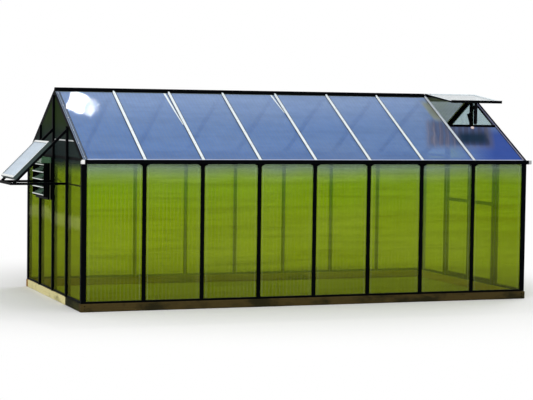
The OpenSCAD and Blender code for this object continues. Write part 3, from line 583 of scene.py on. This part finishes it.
def shrunk(outline, by):
    """An outline drawn in by a distance, along the sum of its neighbouring edges' normals."""
    edge = np.roll(outline, -1, axis=0) - outline
    normal = np.stack([-edge[:, 1], edge[:, 0]], axis=1)
    normal /= np.linalg.norm(normal, axis=1)[:, None]
    before = np.roll(normal, 1, axis=0)
    return outline + by * (normal + before) / (1.0 + (normal * before).sum(1))[:, None].clip(0.4)


def slab(outline, thick, ease):
    """Rings of a plate that stands from 0 to its thickness, with its upper edge eased."""
    levels = [(outline, 0.0), (outline, thick - ease), (shrunk(outline, ease), thick)]
    return np.stack([np.column_stack([ring, np.full(len(ring), z)]) for ring, z in levels])


def mirrored(*half):
    """An outline that is the same on both sides, from the points of its right side: after them
    come their mirror images, in reverse order."""
    half = np.array(half)
    return np.roll(np.concatenate([half, half[::-1] * (-1, 1)]), 1, axis=0)


def rounded(width, height, radius, steps=3):
    """Outline of a rectangle about the origin whose corners are quarter circles of steps points."""
    quarter, step = np.divmod(np.arange(4 * steps), steps)
    turn = (quarter + step / (steps - 1)) * math.pi / 2
    side = np.stack([np.where(quarter % 3 == 0, 1, -1), np.where(quarter < 2, 1, -1)], 1)
    arc = radius * np.stack([np.cos(turn), np.sin(turn)], 1)
    return side * (np.array([width, height]) / 2 - radius) + arc


def turned(profile, segments=12):
    """Rings of a body of revolution about Z through (radius, height, hexagon share) rows: a
    circle, drawn towards a hexagon of that radius by its share."""
    rows = np.array(profile, float)
    turn = np.arange(segments) * 2 * math.pi / segments
    hexagon = math.cos(math.pi / 6) / np.cos(turn % (math.pi / 3) - math.pi / 6)
    share = rows[:, 2:3] if rows.shape[1] > 2 else 0.0
    reach = rows[:, :1] * (1 + share * (hexagon - 1))
    return np.stack([reach * np.cos(turn), reach * np.sin(turn),
                     np.broadcast_to(rows[:, 1:2], reach.shape)], axis=-1)


def bolt(radius, height):
    """A hexagon head on its round washer."""
    rows = np.array([(1.5, 0, 0), (1.5, 0.25, 0), (1.0, 0.25, 1), (1.0, 0.9, 1), (0.8, 1.0, 1)])
    return turned(rows * (radius, height, 1.0))


def dome(radius, height):
    """A low round head: radii by the cosine and heights by the sine of an angle."""
    turn = np.linspace(0, math.pi / 2 * 0.92, 4)
    return turned(np.stack([radius * np.cos(turn), height * np.sin(turn)], 1))


def put(name, data):
    """A new object in the scene."""
    made = bpy.data.objects.new(name, data)
    bpy.context.scene.collection.objects.link(made)
    return made


def piece(name, rings, finish, slot, body="house", stands_for=(), smooth=32):
    """A mesh object of lofted bodies, with its faces turned outwards, that rides on a body."""
    points, faces, start = [], [], 0
    for shape in rings:
        shape_points, arrays = lofted(shape)
        points.append(shape_points)
        faces += [face for array in arrays for face in (array + start).tolist()]
        start += len(shape_points)
    mesh = bpy.data.meshes.new(name)
    mesh.from_pydata(np.concatenate(points).tolist(), [], faces)
    work = bmesh.new()
    work.from_mesh(mesh)
    bmesh.ops.recalc_face_normals(work, faces=work.faces)
    work.to_mesh(mesh)
    work.free()
    mesh.shade_smooth()
    mesh.set_sharp_from_angle(angle=math.radians(smooth))
    mesh.materials.append(finish)
    made = put(name, mesh)
    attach(made, body)
    if stands_for:
        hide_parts(*stands_for)
    return made


# ---- timbers


def timber(node, finish, slot, along, seed, around=72, steps=150):
    """A squared beam in a CAD timber's box. Each ring walks round a square with its corners
    rounded off, drawn in by up to 2 mm by sines along and round the beam and by worn corners,
    with narrow drying checks that come and go along it."""
    lo, hi = low(node), high(node)
    run = "xy".index(along)
    across = [1 - run, 2]
    rng = np.random.default_rng(seed)
    walk = np.arange(around) * 4.0 / around
    square = np.clip(2 * (np.abs(np.stack([walk, walk - 1], 1) % 4 - 2) - 1), -1, 1)
    half = (hi - lo)[across] / 2
    curve = 0.007 / half[0]
    inner = np.clip(square, curve - 1, 1 - curve)
    gap = square - inner
    square = inner + curve * gap / np.linalg.norm(gap, axis=1).clip(1e-9)[:, None]
    share = np.concatenate([[0.0, 0.002], np.linspace(0.012, 1 - 0.012, steps - 4), [0.998, 1.0]])
    t = lo[run] + (hi[run] - lo[run]) * share
    turn = walk * math.pi / 2
    dent = np.full((steps, around), 0.0009)
    for _ in range(6):
        dent += 0.00018 * np.sin(t[:, None] * rng.uniform(2, 14) + turn * rng.integers(1, 5)
                                 + rng.uniform(0, 6))
    corner = (np.abs(square).min(1) ** 10) * 0.0022
    dent += corner * (0.5 + 0.5 * np.sin(t[:, None] * rng.uniform(3, 7) + turn * 2 + seed))
    for _ in range(7):
        at, mid = rng.integers(0, around), rng.uniform(lo[run], hi[run])
        reach = rng.uniform(0.08, 0.4)
        dent[:, at] += 0.0022 * np.clip(1 - np.abs(t - mid) / reach, 0, 1) ** 0.5
    dent[[0, -1]] += 0.0022
    rings = np.empty((steps, around, 3))
    rings[..., run] = t[:, None]
    for k, axis in enumerate(across):
        rings[..., axis] = (lo[axis] + hi[axis]) / 2 + square[:, k] * (half[k] - dent)
    return piece(node + "_sawn", [rings], finish, slot, stands_for=[node], smooth=40)


timber("base_front_timber", front_wood, "timber", "x", 11)
timber("base_back_timber", back_wood, "timber", "x", 12)
timber("base_left_timber", pale_wood, "timber", "y", 13, steps=80)
timber("base_left_end_timber", dark_wood, "dark_timber", "y", 14, steps=40)
timber("base_right_timber", pale_wood, "timber", "y", 15, steps=100)

coach = [((x, side * (BACK + 0.0185), z), side * Y) for x in (LEFT + 0.025, RIGHT - 0.025)
         for z in (0.026, 0.063) for side in SIDES]
piece("timber_coach_screws", [placed(bolt(0.0065, 0.0015), frames(*zip(*coach), X))], *FITTING)

# ---- posts, studs and corners

PROUD, STUD_PROUD, CORNER_PROUD = 0.010, 0.022, 0.014  # how far the covers stand out
COVER_FOOT = BASE + 0.001
head_plate = mirrored((0.056, 0.0), (0.050, -0.008), (0.034, -0.013), (0.026, -0.022))


def cover_section(proud):
    """Section of a snapped-on cover: a bar's width, with its outer edges drawn in."""
    half = BAR / 2
    return mirrored((half, 0.0), (half, proud - 0.003), (half - 0.003, proud))


def gable_top(y):
    """Height of the rakes' lower edge over a place across the gable."""
    return RIDGE - np.abs(y) * math.tan(PITCH) - RAKE / COS


covers, heads = [], []
for side in SIDES:  # the long walls' posts, with a plate at each head
    out, along = side * Y, -side * X
    foot = np.array([(x, side * BACK, COVER_FOOT) for x in POSTS])
    covers.append(runs(cover_section(PROUD), foot, foot * (1, 1, 0) + (0, 0, EAVE), along, out))
    heads.append(frames([(x, side * BACK, EAVE) for x in POSTS], out, along))
for x, out in ENDS:  # the gables' studs, but for the one over the doors, and the corners
    ys = STUDS if out < 0 else STUDS[[0, 2]]
    foot = np.array([(x, y, COVER_FOOT) for y in ys])
    ribs = runs(cover_section(STUD_PROUD), foot, foot * (1, 1, 0), out * Y, out * X)
    ribs[:, 1, :, 2] = gable_top(ribs[:, 1, :, 1])
    covers.append(ribs)
    for side in SIDES:
        plan = np.array([(-CORNER_PROUD, BAR), (-CORNER_PROUD, 0.003 - PROUD),
                         (0.003 - CORNER_PROUD, -PROUD), (BAR, -PROUD), (BAR, 0.0), (0.0, 0.0),
                         (0.0, BAR)])
        ring = np.stack([x - out * plan[:, 0], side * (BACK - plan[:, 1])], 1)
        levels = [np.column_stack([ring, np.full(len(ring), z)]) for z in (COVER_FOOT, EAVE)]
        covers.append(np.stack(levels)[None])
sill_section = np.array([(0.0, 0.001), (PROUD, 0.001), (PROUD, 0.016), (PROUD - 0.003, 0.020),
                         (0.0, 0.020)])
for side in SIDES:  # the long walls' sills, from post to post
    starts = np.r_[LEFT + BAR, POSTS + BAR / 2] + 0.001
    ends = np.r_[POSTS - BAR / 2, RIGHT - BAR] - 0.001
    at = np.array([[(x, side * BACK, BASE) for x in xs] for xs in (starts, ends)])
    covers.append(runs(sill_section, *at, side * Y, Z))
for x, out in ENDS:  # the gables' sills, from stud to stud, but for the doorway
    starts = np.r_[FRONT + BAR + 0.001, STUDS + 0.022]
    ends = np.r_[STUDS - 0.022, BACK - BAR - 0.001]
    at = np.array([[(x, y, BASE) for y in ys] for ys in (starts, ends)])
    at = at if out < 0 else at[:, [0, 3]]
    covers.append(runs(sill_section, *at, out * X, Z))
piece("post_covers", covers, *BLACK)
piece("post_head_plates", [placed(slab(head_plate, PROUD + 0.002, 0.0008),
                                  np.concatenate(heads))], *BLACK)

bolts = []
for side in SIDES:
    for x in POSTS:
        spots = [(x + shift, side * (BACK + PROUD + 0.0018), EAVE + z)
                 for shift, z in ((-0.038, -0.006), (0.038, -0.006), (0.0, -0.014))]
        spots.append((x, side * (BACK + PROUD), BASE + 0.012))
        bolts.append(frames(spots, side * Y, -side * X))
for x, out in ENDS:
    spots = [(x + out * STUD_PROUD, y, BASE + 0.014) for y in STUDS if out < 0 or abs(y) > 0.1]
    bolts.append(frames(spots, out * X, out * Y))
piece("frame_bolts", [placed(bolt(0.0045, 0.0035), np.concatenate(bolts))], *FITTING)

# ---- roof

beads, drips, tips, screws, rake_screws, joints = [], [], [], [], [], []
bead_section = mirrored((0.0038, 0.0), (0.0034, 0.0016), (0.0018, 0.0027))
drip_section = np.array([(-0.014, -0.0013), (0.0015, -0.0013), (0.0015, 0.0093), (-0.012, 0.0093),
                         (-0.012, 0.0081), (0.0003, 0.0081), (0.0003, -0.0001), (-0.014, -0.0001)])
tip_plan = mirrored((0.012, -0.020), (0.012, 0.004), (0.005, 0.024))
for side in SIDES:
    out, along = roof_out(side), -side * X
    edges = np.r_[POSTS - CAP / 2 - 0.004, POSTS + CAP / 2 + 0.004, LEFT + BAR + 0.004,
                  RIGHT - BAR - 0.004]
    bead_from = np.where((side < 0) & (edges > POSTS[-1]), 0.775, 0.064)
    beads.append(runs(bead_section, on_roof(edges, bead_from, SHEET, side),
                      on_roof(edges, SLOPE - 0.015, SHEET, side), along, out))
    left = np.r_[LEFT + BAR + 0.001, POSTS + CAP / 2 + 0.001]
    right = np.r_[POSTS - CAP / 2 - 0.001, RIGHT - BAR - 0.001]
    drips.append(runs(drip_section, on_roof(left, SLOPE, 0.0, side),
                      on_roof(right, SLOPE, 0.0, side), np.array([0.0, side * COS, -SIN]), out))
    tips.append(placed(slab(tip_plan, 0.0035, 0.0012),
                       frames(on_roof(POSTS, 0.050, CAP_TOP, side), out, along)))
    down = np.linspace(0.10, SLOPE - 0.06, 6)
    for lines, row in ((np.r_[POSTS, LEFT + BAR / 2], screws), (RIGHT - BAR / 2, rake_screws)):
        spots = on_roof(np.atleast_1d(lines)[:, None], down, CAP_TOP, side).reshape(-1, 3)
        row.append(placed(bolt(0.0042, 0.0038), frames(spots, out, along)))
    joints.append(placed(slab(rounded(0.050, 0.055, 0.003), 0.0028, 0.0008), frames(
        on_roof(POSTS[1::2] - 0.015, 0.0340, CAP_TOP, side), out, along)))
piece("cap_gaskets", beads, rubber, "black_fittings")
piece("sheet_drip_strips", drips, drip, "bright_aluminium")
piece("cap_end_clips", tips, bright, "bright_aluminium")
piece("cap_screws", screws, zinc, "bright_aluminium")
piece("rake_screws", rake_screws, *FITTING)
piece("ridge_joint_covers", joints, *BLACK)


def wing_z(y):
    """Height of the ridge cap's upper face over a place beside the ridge."""
    return RIDGE + CAP_TOP / COS - abs(y) * math.tan(PITCH)


crest = mirrored((0.034, wing_z(0.034) - 0.001), (0.027, RIDGE + 0.020), (0.015, RIDGE + 0.0268))
piece("ridge_crest", [runs(crest, X * (LEFT + 0.004), X * (low("vent_frame")[0] - 0.006), Y, Z)],
      *BLACK)


def splice(x, side, end, wide):
    """A thin strip beside a cap that narrows down the slope and runs in under the cap's edge."""
    rings = []
    for s, off, half in ((0.066, -0.058, wide), (end * 0.6, -0.042, wide * 0.7),
                         (end, -0.026, wide * 0.3)):
        corners = [(off - half, 0.0), (off + half, 0.0), (off + half, 0.0022), (off - half, 0.0022)]
        rings.append([on_roof(x + c, s, SHEET + n, side) for c, n in corners])
    return np.array(rings)[None]


piece("cap_splice_strips", [splice(x, side, end, wide) for side in (-1, 1) for x, end, wide in (
    (POSTS[1], 0.78, 0.0125), (POSTS[3], 0.48, 0.0105))], bright, "bright_aluminium")

# ---- vent

VENT_L, HINGE_S = 0.735, 0.014  # down the slope to the crossbar and to the vent's hinge edge
VENT_WIDE, VENT_RUN, VENT_DEEP = BAY + BAR / 2, VENT_L - HINGE_S, 0.020
VENT_BAR, STRAP = 0.028, 0.022  # widths of the vent frame's bars and of the opener's links
VENT_X = high("vent_frame")[0] - np.array([VENT_WIDE, 0.0])
VENT_PITCH = PITCH - math.radians(22.0)
VENT_DOWN = np.array([0.0, -math.cos(VENT_PITCH), -math.sin(VENT_PITCH)])
VENT_OUT = np.array([0.0, -math.sin(VENT_PITCH), math.cos(VENT_PITCH)])


def on_vent(x, r, h):
    """Points of the propped vent: r down it from its hinge edge and h above its lower face."""
    x, r, h = np.broadcast_arrays(x, r, h)
    hinge = on_roof(x, HINGE_S, CAP_TOP + 0.006)
    return hinge + r[..., None] * VENT_DOWN + h[..., None] * VENT_OUT


keys = np.array([(x, r) for x in VENT_X + (VENT_BAR / 2, -VENT_BAR / 2)
                 for r in (0.050, VENT_RUN - VENT_BAR / 2)]).T
key_plates = placed(slab(rounded(0.024, 0.024, 0.004), 0.0016, 0.0005),
                    frames(on_vent(*keys, VENT_DEEP), VENT_OUT, X))
hinge_rivets = on_vent(np.linspace(VENT_X[0] + 0.08, VENT_X[1] - 0.08, 5), 0.034, VENT_DEEP)
rivets = placed(dome(0.0042, 0.0022), frames(
    np.concatenate([on_vent(*keys, VENT_DEEP + 0.0016), hinge_rivets]), VENT_OUT, X))
piece("vent_corner_keys", [key_plates, rivets], vent_black, "black_aluminium")

flashing = np.array([(0.0, -0.003), (0.0025, -0.003), (0.0025, 0.027), (0.0, 0.030),
                     (-0.010, 0.030), (-0.010, 0.028), (0.0, 0.028)])
piece("vent_front_strip", [runs(flashing, *on_vent(VENT_X, VENT_RUN, 0.0), VENT_DOWN, VENT_OUT)],
      vent_black, "black_aluminium")

ELBOW = np.array([0.0, 0.080, 0.125])  # from the opener's pivot to the pin between its links
OPENER_X = low("vent_opener")[0], high("vent_opener")[0]
pivot = on_roof(0.0, VENT_L - 0.0023 - STRAP, 0.0)
upper = on_vent(0.0, VENT_RUN - VENT_BAR / 2, -STRAP / 2 - 0.0003)
pins = [placed(turned([(0.0055, -0.0025), (0.0062, -0.001), (0.0062, 0.0315), (0.0055, 0.033)]),
               frames([at + (OPENER_X[0] - 0.001, 0, 0)], X, Y))
        for at in (pivot, pivot + ELBOW, upper)]


def coiled(start, tilt, length, radius, wire, turns, around=12, sided=6):
    """A coil spring's rings: the wire's middle goes round the line from start along tilt by the
    cosine and sine of an angle, and each ring goes round the wire in the same way."""
    angle = np.linspace(0, 2 * math.pi * turns, turns * around)
    swing = np.array([0.0, tilt[2], -tilt[1]])
    radial = np.cos(angle)[:, None] * X + np.sin(angle)[:, None] * swing
    centre = start + np.outer(angle / angle[-1], tilt * length) + radius * radial
    turn = np.arange(sided) * 2 * math.pi / sided
    return centre[:, None] + wire * (np.cos(turn)[:, None] * radial[:, None]
                                     + np.sin(turn)[:, None] * tilt)


tilt = ELBOW / np.linalg.norm(ELBOW)
spring = coiled(pivot + (OPENER_X[1] + 0.012, 0, 0) + tilt * 0.02, tilt, 0.10, 0.008, 0.0016, 9)
piece("opener_pins_and_spring", [*pins, spring], opener, "opener_metal")
tube_foot, tube_head = on_roof(2.610, 0.716, 0.018), on_vent(2.572, VENT_RUN - 0.030, -0.002)
tall = float(np.linalg.norm(tube_head - tube_foot))
tube_up = (tube_head - tube_foot) / tall
tube = turned([(0.012, 0.0), (0.016, 0.003), (0.016, 0.012), (0.0215, 0.017),
               (0.0215, tall - 0.040), (0.018, tall - 0.034), (0.018, tall - 0.010),
               (0.012, tall - 0.006), (0.012, tall)], 18)
tube_side = np.cross(tube_up, Y)
tube_side /= np.linalg.norm(tube_side)
piece("opener_cylinder", [placed(tube, frames([tube_foot], tube_up, tube_side))], opener,
      "opener_metal")
seal = mirrored((0.008, 0.0), (0.008, 0.008), (0.004, 0.012))
piece("crossbar_seal", [runs(seal, *on_roof(VENT_X + (0.018, -0.044), VENT_L + 0.0055, CAP_TOP),
                             (0.0, -COS, -SIN), roof_out(-1))], black, "black_fittings")
stop = turned([(0.017, 0.0), (0.021, 0.002), (0.0215, 0.009), (0.019, 0.015), (0.012, 0.0195),
               (0.003, 0.021)], 20)
piece("short_sheet_stop", [placed(stop, frames(on_roof(2.535, 0.797, CAP_SEAT), roof_out(-1), X))],
      stop_pink, "white_plastic")

# ---- gutters

GUTTER_LO, GUTTER_HI = low("gutter_end_caps"), high("gutter_end_caps")


def end_caps(name, x0, x1, finish, slot):
    """Moulded caps on both gutters' ends: the trough's outline with eased edges, and a rounded lip
    along its outer side."""
    deep = -GUTTER_LO[1] - BACK
    tall = GUTTER_HI[2] - GUTTER_LO[2]
    low_top = tall - 0.0135
    outline = np.array([(0.001, 0.002), (0.004, 0.0), (deep - 0.008, 0.0), (deep - 0.002, 0.003),
                        (deep, 0.009), (deep, tall - 0.003), (deep - 0.002, tall - 0.0005),
                        (deep - 0.007, tall - 0.0005), (deep - 0.0095, tall - 0.003),
                        (deep - 0.011, low_top), (0.001, low_top)])
    bodies = []
    for side in SIDES:
        rings = []
        for x, ease in ((x0, 0.0), (x1 - 0.004 * np.sign(x1 - x0), 0.0), (x1, 0.003)):
            ring = shrunk(outline, ease)
            rings.append(np.stack([np.full(len(ring), x), side * (BACK + ring[:, 0]),
                                   GUTTER_LO[2] + ring[:, 1]], 1))
        bodies.append(np.stack(rings)[None])
    return piece(name, bodies, finish, slot)


# the same caps, white at the left end and grey at the right: painted light and shade
left_caps = end_caps("left_gutter_caps", GUTTER_LO[0] + 0.035, GUTTER_LO[0], white, "white_plastic")
end_caps("right_gutter_caps", GUTTER_HI[0] - 0.035, GUTTER_HI[0], grey_cap, "white_plastic")
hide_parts("gutter_end_caps")

# ---- louvre

LOUVRE_LO, LOUVRE_HI = low("louvre_frame"), high("louvre_frame")
BLADES, FRAME_BAR = 5, 0.025
BLADE_PITCH = (LOUVRE_HI[2] - LOUVRE_LO[2] - 2 * FRAME_BAR) / BLADES
BLADE_Z = LOUVRE_LO[2] + FRAME_BAR + (np.arange(BLADES) + 0.92) * BLADE_PITCH
TILT = math.radians(30)
BLADE_DOWN = np.array([-math.cos(TILT), 0.0, -0.5])
BLADE_OUT = np.array([-0.5, 0.0, math.cos(TILT)])
blade_root = np.stack([np.full(BLADES, LEFT - 0.020), np.zeros(BLADES), BLADE_Z], 1)
y0, y1 = LOUVRE_LO[1] + FRAME_BAR + 0.0003, LOUVRE_HI[1] - FRAME_BAR - 0.0003  # the jambs
clip_side = np.array([(-0.004, -0.0085), (0.050, -0.0065), (0.060, -0.0030), (0.062, 0.0010),
                      (0.058, 0.0045), (0.045, 0.0065), (0.018, 0.0095), (-0.004, 0.0095),
                      (-0.009, 0.0050), (-0.009, -0.0040)])
clips = [placed(slab(clip_side, 0.007, 0.0015), np.stack([
    blade_root + (0, y, 0), *(np.tile(v, (BLADES, 1)) for v in (
        BLADE_DOWN, BLADE_OUT, (0.0, inward, 0.0)))], 1)) for y, inward in ((y0, 1.0), (y1, -1.0))]
piece("louvre_clips", clips, *FITTING)
edge = blade_root + BLADE_DOWN * 0.1015
piece("louvre_blade_edges", [runs(rounded(0.009, 0.0115, 0.003), edge + (0, y0 + 0.002, 0),
                                  edge + (0, y1 - 0.002, 0), BLADE_DOWN, BLADE_OUT)],
      edge_glass, "louvre_blade")
ribs = [runs(rounded(0.007, 0.005, 0.0015), (x, y, LOUVRE_LO[2] + 0.002),
             (x, y, LOUVRE_HI[2] - 0.002), X, Y)
        for x in (LEFT - 0.016, LEFT - 0.038) for y in (LOUVRE_LO[1], LOUVRE_HI[1])]
piece("louvre_frame_ribs", ribs, rib_grey, "black_aluminium")


def across_louvre(outline, y_from, y_to):
    """An outline of X off the gable and height, carried along the gable between two places."""
    rings = [np.stack([LEFT + outline[:, 0], np.full(len(outline), y), outline[:, 1]], 1)
             for y in (y_from, y_to)]
    return np.stack(rings)[None]


# black plates inside the louvre's jambs put where only shade shows through it: painted shade
plate = np.array([(-0.0580, LOUVRE_HI[2] - 0.026), (-0.0580, LOUVRE_LO[2] + 0.030),
                  (-0.0700, LOUVRE_LO[2] + 0.022), (-0.1040, LOUVRE_LO[2] + 0.030),
                  (-0.1080, LOUVRE_LO[2] + 0.036), (-0.1080, LOUVRE_HI[2] - 0.064)])
piece("louvre_shade_cheeks", [across_louvre(plate, y, y + 0.0020) for y in (
    LOUVRE_LO[1] + 0.0215, LOUVRE_HI[1] - 0.0235)], *FITTING)
hood_line = np.array([(-0.0665, 1.5905), (-0.0665, 1.5860), (-0.1355, 1.5775), (-0.1375, 1.5240),
                      (-0.1405, 1.5240), (-0.1400, 1.5815)])
hood_end = np.array([(-0.030, 1.5880), (-0.030, 1.5240), (-0.1370, 1.5240), (-0.1370, 1.5790),
                     (-0.0665, 1.5880)])
hood_ends = [across_louvre(hood_end, y, y + 0.0022)
             for y in (LOUVRE_LO[1] - 0.0026, LOUVRE_HI[1] + 0.0004)]
piece("louvre_hood", [across_louvre(hood_line, LOUVRE_LO[1] - 0.003, LOUVRE_HI[1] + 0.003),
                      *hood_ends], hood, "louvre_blade")
rod = np.array([(LEFT + 0.012, y0 + 0.012, z) for z in BLADE_Z])
lever = [runs(rounded(0.010, 0.004, 0.0015), rod[0], rod[-1], X, Y),
         runs(rounded(0.006, 0.006, 0.002), blade_root + (0, y0 + 0.009, 0), rod, Y, Z),
         runs(rounded(0.014, 0.006, 0.002), rod[2], rod[2] + (0.085, 0, -0.075),
              (0.66, 0, 0.75), Y)]
piece("louvre_lever", lever, *FITTING)

# ---- bracket and outside pane

REACH, ARM, ARM_Z = 0.600, 0.026, 1.335
ARM_LO, ARM_HI = low("bracket_arms"), high("bracket_arms")
arm_ys = (ARM_LO[1] + ARM / 2, ARM_HI[1] - ARM / 2)
arm_mid = (ARM_LO[2] + ARM_HI[2]) / 2
side_bolts = frames([(x, ARM_LO[1], arm_mid) for x in (ARM_LO[0] + ARM / 2, LEFT - 0.040)], -Y, X)
foot_bolts = frames([(LEFT - 0.0001, y + shift, arm_mid) for y in arm_ys
                     for shift in (-0.022, 0.022)], -X, -Y)
flanges = frames([(LEFT, y, arm_mid) for y in arm_ys], -X, -Y)
piece("bracket_bolts", [placed(bolt(0.0060, 0.005), side_bolts),
                        placed(bolt(0.0045, 0.0065), foot_bolts),
                        placed(slab(rounded(0.064, 0.040, 0.006), 0.0030, 0.001), flanges)],
      *FITTING)

SLANT = math.sqrt(0.5)
PANE_UP, PANE_OUT = np.array([(SLANT, 0.0, SLANT), (-SLANT, 0.0, SLANT)])
PANE_FROM = 0.040  # up the rails to the pane's lower edge
PANE_TO = PANE_FROM + 0.65 * REACH / SLANT
RAILS_ROOT = np.array([LEFT - REACH, 0.0, ARM_Z])


def on_pane(u, up, out):
    """Points of the tilted pane: u along the gable, up the rails from the arms' ends, and out."""
    u, up, out = (v[..., None] for v in np.broadcast_arrays(u, up, out))
    return RAILS_ROOT - u * Y + up * PANE_UP + out * PANE_OUT


corners = np.array([(u, up) for up in (PANE_FROM + ARM / 2, PANE_TO - ARM / 2) for u in (0.0, BAY)])
corner_spots = on_pane(*corners.T, 0.040)
piece("pane_corner_screws", [placed(dome(0.0045, 0.0022), frames(corner_spots, PANE_OUT, Y))],
      zinc, "grey_frame")

# ---- doors

LEAF_X = high("front_leaf_frame")[0]
LEAF_LO, LEAF_HI = low("front_leaf_frame")[2], high("front_leaf_frame")[2]
LEAF_IN, LEAF_OUT = 0.0025, 0.624  # a leaf's edges off the door's middle
rail_z = LEAF_LO + 0.54 * (LEAF_HI - LEAF_LO)
gusset = np.array([(0.0, 0.0), (0.070, 0.0), (0.070, 0.012), (0.020, 0.024), (0.014, 0.034),
                   (0.012, 0.090), (0.0, 0.090)])


def on_leaf(spots):
    """Frames at places on the leaves' outer face."""
    return frames(spots, X, Y)


rose = turned([(0.0115, 0.0), (0.0115, 0.003), (0.009, 0.0045), (0.0062, 0.006)], 16)
knob = turned([(0.004, 0.0), (0.004, 0.006), (0.007, 0.009), (0.007, 0.014), (0.004, 0.017)])
for side, leaf_name in zip(SIDES, ("front", "back")):
    roses = placed(rose, on_leaf([(LEAF_X, side * (LEAF_IN + 0.020), rail_z + z)
                                  for z in (-0.080, 0.080)]))
    gussets, rivet_at = [], []
    for y, inward in ((LEAF_IN + 0.006, 1.0), (LEAF_OUT - 0.006, -1.0)):
        for z, upward in ((LEAF_LO + 0.006, 1.0), (LEAF_HI - 0.006, -1.0)):
            shape = gusset * (side * inward, upward)
            shape = shape if side * inward * upward > 0 else shape[::-1]
            gussets.append(placed(slab(shape, 0.0018, 0.0006), on_leaf((LEAF_X, side * y, z))))
            rivet_at += [(LEAF_X + 0.0018, side * (y + inward * a), z + upward * b)
                         for a, b in ((0.008, 0.008), (0.058, 0.006), (0.006, 0.076))]
    bolt_line = np.array([LEAF_X + 0.004, side * 0.0225, 0.0])
    shoot_bolts = [runs(rounded(0.014, 0.010, 0.004), bolt_line + z * Z, bolt_line + (z + 0.12) * Z,
                        Y, X) for z in (LEAF_LO + 0.13, LEAF_HI - 0.25)]
    knobs = placed(knob, on_leaf([bolt_line + (0.004, 0, z)
                                  for z in (LEAF_LO + 0.20, LEAF_HI - 0.20)]))
    sweep = runs(np.array([(0.0, -0.002), (0.004, -0.002), (0.003, 0.028), (0.0, 0.030)]),
                 (LEAF_X, side * (LEAF_IN + 0.004), LEAF_LO),
                 (LEAF_X, side * (LEAF_OUT - 0.045), LEAF_LO), X, Z)
    piece(leaf_name + "_leaf_hardware",
          [roses, *gussets, placed(dome(0.0036, 0.002), on_leaf(rivet_at)), *shoot_bolts, knobs,
           sweep], *FITTING, body=leaf_name + "_door_leaf")

# ---- floor, light and camera


def stage_floor(half, colour, near, far):
    """A flat square on the ground. Past far metres from the middle the eye sees it plain white,
    and within near metres it is lit paper that keeps the shadow."""
    mesh = bpy.data.meshes.new("floor")
    mesh.from_pydata([(-half, -half, 0), (half, -half, 0), (half, half, 0), (-half, half, 0)],
                     [], [(0, 1, 2, 3)])
    p = finish_named("floor_paper")
    away = (p.x * p.x + p.y * p.y).root().ramp(near, far) * p.seen()
    paper = p.gloss(Base_Color=colour, Roughness=0.9, Specular_IOR_Level=0.2)
    plain = p.node("Emission", {}, {0: (1.0, 1.0, 1.0), 1: 1.0})
    mesh.materials.append(p.finish(p.blend(away, paper, plain)))
    put("floor", mesh)


def soft_box(name, at, aim, width, height, watts):
    """A rectangular lamp at a place, turned to face a point."""
    lamp = bpy.data.lights.new(name, "AREA")
    lamp.shape, lamp.size, lamp.size_y, lamp.energy = "RECTANGLE", width, height, watts
    box = put(name, lamp)
    box.location = at
    box.rotation_euler = (Vector(aim) - Vector(at)).to_track_quat("-Z", "Y").to_euler()


def surround(ambient):
    """White all round for the eye and for gloss, and a softer level for lighting."""
    p = Paint(bpy.data.worlds.new("surround"))
    bpy.context.scene.world = p.owner
    level = p.seen() * (1.0 - ambient) + ambient
    p.finish(p.node("Background", {}, {0: (1.0, 1.0, 1.0), 1: level}), "OutputWorld")


stage_floor(150.0, (0.95, 0.95, 0.95), 2.8, 5.5)
surround(0.66)
soft_box("key", (-4.0, -11.0, 9.0), (0.0, 0.0, 1.0), 7.0, 5.0, 700.0)
soft_box("side", (11.0, 5.0, 7.0), (0.0, 0.0, 1.0), 6.0, 5.0, 300.0)
# the glare on the front slope: one patch and six fingers beside it, as offsets and sizes
GLARE_AT, GLARE_AIM = Vector((-0.684, 2.811, 7.140)), Vector((-2.129, -0.275, 2.201))
GLARE_SIDE = (GLARE_AIM - GLARE_AT).cross(Vector((0.0, 0.0, 1.0))).normalized()
GLARE_UP = GLARE_SIDE.cross(GLARE_AIM - GLARE_AT).normalized()
GLARE = ((0.030, 0.000, 0.24, 0.27), (-0.160, 0.100, 0.16, 0.010), (-0.175, 0.060, 0.19, 0.014),
         (-0.190, 0.015, 0.22, 0.018), (-0.165, -0.030, 0.17, 0.012),
         (-0.180, -0.070, 0.20, 0.012), (-0.150, -0.110, 0.14, 0.012))
for k, (aside, above, wide, deep) in enumerate(GLARE):
    step = GLARE_SIDE * aside + GLARE_UP * above
    soft_box("glare_%d" % k, GLARE_AT + step, GLARE_AIM + step, wide, deep, 480.0 * wide * deep)


def place_camera(at, yaw, pitch, roll, lens):
    """Looks along yaw from +Y towards +X and up by pitch, rolled so that its right side rises."""
    yaw, pitch, roll = map(math.radians, (yaw, pitch, roll))
    level = math.cos(pitch)
    ahead = Vector((math.sin(yaw) * level, math.cos(yaw) * level, math.sin(pitch)))
    right = Vector((math.cos(yaw), -math.sin(yaw), 0.0))
    above = right.cross(ahead)
    across = right * math.cos(roll) + above * math.sin(roll)
    top = above * math.cos(roll) - right * math.sin(roll)
    turn = Matrix((across, top, -ahead)).transposed().to_4x4()
    data = bpy.data.cameras.new("camera")
    data.sensor_width, data.lens = 36.0, lens
    data.clip_end = 400.0
    camera = put("camera", data)
    camera.matrix_world = Matrix.Translation(at) @ turn
    bpy.context.scene.camera = camera


place_camera((-6.527, -18.0, 2.131), 20.519, -3.095, 0.738, 110.52)
bpy.context.scene.view_settings.view_transform = "Standard"
